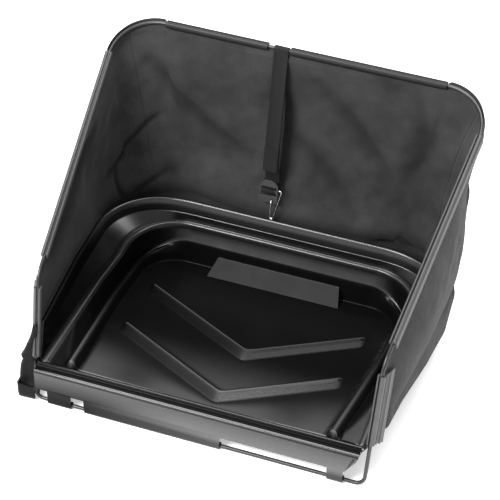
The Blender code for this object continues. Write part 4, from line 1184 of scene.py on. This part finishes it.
SHARP_CREASES = (
    ((.5120, .1380), (.4950, .1430), (.4800, .1500), (.4620, .1560), (.4420, .1580), (.4220, .1570), (.3968, .1560)),
    ((.4300, .1560), (.4180, .1680), (.4150, .1885), (.4240, .2080)),
    ((.4443, .2290), (.4780, .2320), (.5061, .2270)), ((.8780, .2560), (.9100, .2480), (.9420, .2500)))
SOFT_FOLDS = (
    ((.5120, .0600), (.5459, .0944), (.5908, .1400), (.6476, .1657)), ((.7284, .1300), (.7853, .1743), (.8400, .2150)),
    ((.7500, .0350), (.8152, .0920), (.8780, .1524)), ((.8900, .0300), (.9150, .0900), (.9000, .1500)),
    ((.5061, .2200), (.5200, .2300)), ((.1500, .0450), (.2090, .0742), (.2954, .0760), (.3700, .0500)),
    ((1.0000, .0900), (1.0200, .1200), (1.0250, .1500)), ((1.0300, .1900), (1.0600, .2050)))


RIM_ROW = 92  # the row of the cloth that lies on the tray's rim


def smooth_line(line):
    """Crease as a soft curve through its points, eight steps from one to the next."""
    knots = np.arange(len(line), dtype=float)
    fine = np.linspace(0, knots[-1], 8 * (len(line) - 1) + 1)
    return np.stack([soft_curve(fine, knots, np.array(line)[:, k]) for k in (0, 1)], axis=1)


def nearness(lines, run, drop, width):
    """1 on a crease and dying away like a bell across it; thinner towards both of its ends."""
    total = np.zeros_like(drop)
    for line in map(smooth_line, lines):
        for k, (a, b) in enumerate(zip(line[:-1], line[1:])):
            way = b - a
            along = np.clip(((run - a[0]) * way[0] + (drop - a[1]) * way[1]) / (way @ way), 0, 1)
            off = np.hypot(run - a[0] - along * way[0], drop - a[1] - along * way[1])
            strength = min(1.0, 0.45 + 0.11 * min(k, len(line) - 2 - k))
            total = np.maximum(total, strength * bell(off / (width * (0.6 + 0.4 * strength))))
    return total


def rippled(run, drop):
    """Soft ripples of three slanting waves, strongest in the free part of the cloth."""
    wave = (np.sin(41 * run + 19 * drop) + 0.7 * np.sin(-23 * run + 47 * drop + 1.3)
            + 0.5 * np.sin(78 * run - 31 * drop + 2.1))
    fine = (np.sin(170 * run + 60 * drop) + np.sin(-95 * run + 150 * drop + 0.7)
            + 0.7 * np.sin(120 * run + 210 * drop + 4.0))
    left_over = drop.max(axis=1, keepdims=True) - 0.085 - drop
    return (0.0011 * wave + 0.00035 * fine) * ease((drop - 0.02) / 0.05) * ease(left_over / 0.05)


def make_panels():
    grid, run, drop, normal = cloth_full()
    sharp, soft = nearness(SHARP_CREASES, run, drop, 0.0052), nearness(SOFT_FOLDS, run, drop, 0.0140)
    right_part = ease((run - 0.84) / 0.08) * ease((1.0 - run) / 0.03) * ease((drop - 0.05) / 0.12)
    row = np.arange(grid.shape[1])[None, :]
    left_part = ease((0.45 - run) / 0.05) * ease((drop - 0.015) / 0.05)
    at_rim = bell((row - RIM_ROW) / 3.5)
    # Painted shade, towards near black: in the creases and folds, along the row on the rim, and over a part of the left
    # and of the right of the cloth.
    shade = np.clip(sharp ** 1.5 + 0.62 * soft + 0.30 * right_part + 0.35 * left_part + 0.7 * at_rim, 0, 0.96)
    grid = grid + normal * (0.0032 * sharp + 0.0060 * soft + rippled(run, drop))[..., None]
    last = len(grid) - 1
    spans = (("panel_left", 0, cloth_seam), ("panel_back", cloth_seam, last - cloth_seam),
             ("panel_right", last - cloth_seam, last))
    panels = []
    for name, first, final in spans:
        part = grid[first:final + 1]
        panel = lay_surface(name + "_cloth", [part], attributes={"cloth_painted_shade": [shade[first:final + 1]]}, smooth=60.0)
        face = np.empty(3 * len(panel.data.polygons), np.float32)
        panel.data.polygons.foreach_get("normal", face)
        middle = normal[first:final, :-1].reshape(-1, 3)
        if np.sum(face.reshape(-1, 3) * middle) < 0:
            panel.data.flip_normals()
        lay_metres(panel, [part])
        dress(panel, CLOTH, "woven_cloth", "bag", name)
        thick = panel.modifiers.new("cloth", "SOLIDIFY")
        thick.thickness, thick.offset = CLOTH_THICK, 1.0
        panels.append(panel)
    return panels


panels = make_panels()


def make_flap():
    """Corner of the left panel that stands out before it tucks behind the plate: curves at each height."""
    height = np.linspace(-0.001, 0.104, 44)
    outer = -soft_curve(height, np.array([.012, .034, .050, .057, .063, .070, .079, .090, .104]),
                        np.array([.2420, .2410, .2385, .2362, .2380, .2345, .2310, .2265, .2225]))
    lean = UPRIGHT_LEAN * height
    knots = np.array([0.0, 0.40, 0.65, 1.0])
    share = np.linspace(0, 1, 26)
    level = np.interp(height, [.012, .064, .104], [.0040, .0055, .0120])
    ends = [np.stack(pair, axis=1) for pair in (
        (0 * height - .2172, lean + .0066), (outer * 0.6 - .2215 * 0.4, level + .0045),
        (outer, level), (0 * height - .2335, 0 * height + .0440))]
    weights = [soft_curve(share, knots, np.eye(4)[k]) for k in range(4)]
    x, y = [sum(w[None, :] * e[:, k:k + 1] for w, e in zip(weights, ends)) for k in (0, 1)]
    grid = np.stack([x, y, np.broadcast_to(height[:, None], x.shape)], axis=-1)
    on_ridge, at_wire, low = bell((share - 0.66) / 0.09), bell((share - 0.2) / 0.12), ease((.032 - height) / .02)
    # Painted shade: the flap is nearly black, lighter along its ridge and, low down, near the wire.
    shade = 0.9 - 0.55 * on_ridge[None, :] - 0.5 * at_wire[None, :] * low[:, None]
    flap = lay_surface("panel_left_flap", [grid], attributes={"cloth_painted_shade": [shade]}, smooth=60.0)
    lay_metres(flap, [grid])
    dress(flap, CLOTH, "woven_cloth", "bag", "panel_left")
    thick = flap.modifiers.new("cloth", "SOLIDIFY")
    thick.thickness, thick.offset = CLOTH_THICK, 0.0
    return flap


flap = make_flap()
print("flap:", len(flap.data.polygons), "faces")

# %% [markdown]
# ## Strap, buckle and hook
#
# A 20 mm webbing strap is wrapped over the top bar and lies double. At its foot a ladder-lock
# buckle holds it: the strap runs behind the buckle's top, comes out through the first slot, goes
# over the middle bar and back through the second. A free tail lies on the lower half, and its end
# shows as a line across the strap. All of it lies in one sloping plane, so a place is given as how
# far down the strap it is and how far in front of the wire.

# %% Strap
STRAP_THICK, STRAP_LEAN, STRAP_FOOT_HEIGHT = 0.0014, 0.235, 0.127
BUCKLE_HEIGHT, BUCKLE_THICK, END_BAR, TAIL_FROM, LAYER_SHIFT = 0.029, 0.0028, 0.0020, 0.1407, 0.0032
STRAP_DOWN = unit((0.0, -STRAP_LEAN, -1.0))
STRAP_FRONT = np.array([0.0, STRAP_DOWN[2], -STRAP_DOWN[1]])
STRAP_TOP = np.array([STRAP_X, TOP_BACK, TOP_UP])
STRAP_FACE = WIRE_RADIUS + 0.0003 + STRAP_THICK / 2
BAR_DROP = TOP_UP - STRAP_FOOT_HEIGHT + 0.4 * BUCKLE_HEIGHT
BAR_FRONT = STRAP_FACE - 0.00235 - STRAP_THICK / 2
BUCKLE_TOP, MIDDLE_BAR = BAR_DROP - 0.4 * BUCKLE_HEIGHT, 0.0120


def in_strap_plane(drop, front, aside=0.0):
    drop, front, aside = np.broadcast_arrays(drop, front, aside)
    sideways = aside[..., None] * np.array([1.0, 0, 0])
    return STRAP_TOP + drop[..., None] * STRAP_DOWN + front[..., None] * STRAP_FRONT + sideways


def strap_line():
    """Closed line of the strap's middle: drop and front, from the front of the bar round to the back."""
    turn = np.radians(np.linspace(0, -250, 22))
    wrap = STRAP_FACE * np.stack([np.sin(turn), np.cos(turn)], axis=1)
    inside = STRAP_FACE - STRAP_THICK - 0.0003
    b = BUCKLE_TOP + MIDDLE_BAR
    face = BAR_FRONT + BUCKLE_THICK / 2 + STRAP_THICK / 2 + 0.0001
    back = [(0.0095, inside), (b - 0.040, inside), (b - 0.022, -0.0058), (b + 0.001, -0.0058), (b + 0.0028, -0.0044),
            (b + 0.0025, 0.0010), (b + 0.0016, face), (b - 0.0016, face), (b - 0.0025, 0.0010), (b - 0.0030, -0.0040),
            (b - 0.017, -0.0040), (b - 0.034, STRAP_FACE), (0.030, STRAP_FACE)]
    radii = [0, .02, .012, .004, .0012, .0012, .0008, .0008, .0012, .0014, .008, .02, .02]
    low = round_corners([(0.0, v, w) for v, w in back], radii, [4] * len(back))[:, 1:]
    return fill_in(np.concatenate([wrap, low]), 0.003, closed=True)


def strap_section():
    """Flat strip with round edges, slightly thinner at the selvedges."""
    half, thick = STRAP_WIDTH / 2, STRAP_THICK / 2
    across = np.array([-1.0, -0.97, -0.86, -0.5, 0.0, 0.5, 0.86, 0.97, 1.0])
    rise = np.array([0.0, 0.75, 1.0, 0.9, 1.0, 0.9, 1.0, 0.75, 0.0])
    upper = np.stack([across * half, rise * thick], axis=1)
    return np.concatenate([upper, (upper * (1, -1))[::-1][1:-1]])


def make_strap():
    line = strap_line()
    behind = (line[:, 1] < STRAP_FACE - STRAP_THICK * 0.6) & (line[:, 0] > 0.02)
    aside = LAYER_SHIFT * ease((line[:, 0] - 0.045) / 0.05) * ease((BAR_DROP - 0.004 - line[:, 0]) / 0.02) * behind
    path = in_strap_plane(line[:, 0], line[:, 1], aside - 0.0004)
    strap_grid = sweep(path, strap_section(), (1.0, 0.0, 0.0), closed=True)
    tail_drop = np.concatenate([[TAIL_FROM - 0.0006], np.linspace(TAIL_FROM, BUCKLE_TOP - 0.019, 12)])
    tail_front = STRAP_FACE + STRAP_THICK + 0.0001 + 0.0006 * np.exp(-((tail_drop - TAIL_FROM) / 0.004) ** 2)
    tail_path = in_strap_plane(tail_drop, tail_front, -0.0002)
    tail_grid = sweep(tail_path, strap_section() * (0.99, 0.9), (1.0, 0.0, 0.0))
    strap = lay_surface("strap_webbing_run", [strap_grid], wrap_u=True, wrap_v=True, smooth=50.0)
    tail = lay_surface("strap_tail", [tail_grid], wrap_v=True, caps=True, smooth=50.0)
    lay_metres(strap, [strap_grid])
    lay_metres(tail, [tail_grid])
    dress(strap, WEBBING, "strap_webbing", "bag", "strap")
    return strap, dress(tail, WEBBING, "strap_webbing", "bag", "strap")


strap, tail = make_strap()
print("strap:", len(strap.data.polygons), "faces, tail:", len(tail.data.polygons))

# %% [markdown]
# The buckle is a small moulded plate: its top corners are wide arcs, two long slots leave a
# middle bar for the strap, and a short hole at the foot takes the hook's eye. The flat face is
# filled between the outline and the holes, pushed to its thickness, and bevelled.

# %% Buckle
BUCKLE_HALF, BUCKLE_BEND, BUCKLE_ARCH, SLOT_HALF = 0.0130, 0.0115, 0.0040, 0.0108
SLOTS = ((0.0056, 0.0102), (0.0138, 0.0184))
EYE_HOLE = (0.0031, 0.0071, 0.0232, 0.0270)


def rounded_box(a_from, a_to, d_from, d_to, top, foot):
    """Outline in the strap's plane, across and down, with one radius above and one below."""
    flat = [(a_from, d_from, 0.0), (a_to, d_from, 0.0), (a_to, d_to, 0.0), (a_from, d_to, 0.0)]
    return round_corners(flat, (top, top, foot, foot), (10, 10, 4, 4), closed=True)[:, :2]


def make_buckle():
    loops = [rounded_box(-BUCKLE_HALF, BUCKLE_HALF, -BUCKLE_ARCH, BUCKLE_HEIGHT, BUCKLE_BEND, 0.0020)]
    loops += [rounded_box(-SLOT_HALF, SLOT_HALF, a, b, 0.0008, 0.0008) for a, b in SLOTS]
    loops.append(rounded_box(*EYE_HOLE, 0.0008, 0.0008))
    work = bmesh.new()
    for loop in loops:
        places = in_strap_plane(BUCKLE_TOP + loop[:, 1], BAR_FRONT - BUCKLE_THICK / 2, loop[:, 0]) + FOOT
        corners = [work.verts.new(p) for p in places.tolist()]
        for k, corner in enumerate(corners):
            work.edges.new((corner, corners[(k + 1) % len(corners)]))
    bmesh.ops.triangle_fill(work, use_beauty=True, use_dissolve=False, edges=work.edges)
    bmesh.ops.dissolve_limit(work, angle_limit=math.radians(1.0), verts=work.verts, edges=work.edges, delimit={"NORMAL"})
    raised = bmesh.ops.extrude_face_region(work, geom=list(work.faces))
    moved = [v for v in raised["geom"] if isinstance(v, bmesh.types.BMVert)]
    bmesh.ops.translate(work, verts=moved, vec=Vector(STRAP_FRONT * BUCKLE_THICK))
    mesh = bpy.data.meshes.new("buckle_moulding")
    work.to_mesh(mesh)
    work.free()
    buckle = finish_mesh("buckle_moulding", mesh, 40.0)
    edge = buckle.modifiers.new("edge", "BEVEL")
    edge.width, edge.segments, edge.limit_method, edge.angle_limit = 0.0004, 3, "ANGLE", math.radians(40)
    return dress(buckle, BUCKLE, "buckle_plastic", "bag", "buckle")


buckle = make_buckle()
print("buckle:", len(buckle.data.polygons), "faces before the bevel")

# %% [markdown]
# The hook is bright wire. Its eye is an open ring round the buckle's end bar, from which a shank
# hangs down, bends, and rises beside the buckle to a curled tip. It moves on a joint of its own.

# %% Hook
HOOK_RADIUS, HOOK_ACROSS, HOOK_LENGTH = 0.0011, 0.0051, 0.0228
HOOK_BEND, HOOK_ARM, HOOK_SPREAD = 0.0025, 0.0385, 0.0185


def hook_line():
    """Eye, shank, bend, arm and curl as arcs and straight lines about the pin."""
    pin = in_strap_plane(BAR_DROP + 0.6 * BUCKLE_HEIGHT - END_BAR / 2, BAR_FRONT)
    eye = math.hypot(END_BAR, BUCKLE_THICK) / 2 + 0.0003 + HOOK_RADIUS
    aside = np.array([1.0, 0.0, 0.0])
    turn = np.radians(np.linspace(300, 0, 34))[:, None]
    ring = aside * HOOK_ACROSS + eye * (STRAP_FRONT * np.cos(turn) - STRAP_DOWN * np.sin(turn))
    plane, low = aside * HOOK_ACROSS + STRAP_FRONT * eye, HOOK_LENGTH - HOOK_BEND
    lean = math.atan2(HOOK_SPREAD - HOOK_ACROSS - 2 * HOOK_BEND, HOOK_ARM)
    bend = ((math.pi - lean) * np.linspace(0, 1, 20))[:, None]
    bottom = plane + aside * HOOK_BEND * (1 - np.cos(bend)) + STRAP_DOWN * (low + HOOK_BEND * np.sin(bend))
    rise = aside * math.sin(lean) - STRAP_DOWN * math.cos(lean)
    arm = bottom[-1] + rise * (HOOK_ARM / math.cos(lean)) * np.linspace(0, 1, 12)[1:, None]
    curl = np.cross(np.cross(rise, aside), rise)
    curl = -unit(curl) if curl @ aside > 0 else unit(curl)
    turn = np.radians(np.linspace(0, 130, 14))[1:, None]
    tip = arm[-1] + HOOK_BEND * (rise * np.sin(turn) + curl * (1 - np.cos(turn)))
    shank = plane + STRAP_DOWN * np.linspace(0, low, 8)[1:-1, None]
    return pin + np.concatenate([ring, shank, bottom, arm, tip])


def make_hook():
    path = hook_line()
    section = circle(HOOK_RADIUS, 16)
    grid = sweep(path, section, (0.0, 1.0, 0.3))
    middle = grid.mean(axis=1, keepdims=True)
    ends = [middle[k] + (grid[k] - middle[k]) * 0.6 + unit(path[k] - path[j]) * HOOK_RADIUS * 0.5
            for k, j in ((0, 1), (-1, -2))]
    grid = np.concatenate([ends[0][None], grid, ends[1][None]])
    hook = lay_surface("hook_wire", [grid], wrap_v=True, caps=True, smooth=50.0)
    return dress(hook, PLATED, "plated_wire", "hook", "hook")


hook = make_hook()
print("hook:", len(hook.data.polygons), "faces, lowest point", round(float(hook.bound_box[0][2]) * 1000, 1), "mm")

# %% [markdown]
# ## Light
#
# The tray is bright near the mouth and nearly black at the back. Part of that comes from one
# large soft light that stands high above and behind the bag and faces down on it. The rest is
# painted into the tray's finish: painted light where it is paler, and painted shade where its
# mirror image is weakened. A smaller light from the front left lights the apron and the ribs' faces.

# %% Lights
make_light("overhead", (0.0, 0.72, 2.10), (0.0, 0.15, 0.05), 2.4, 0.9, 75.0)
make_light("front_soft", (-0.95, -1.55, 1.95), (0.0, 0.0, 0.1), 1.2, 0.9, 115.0)
print("two soft lights")
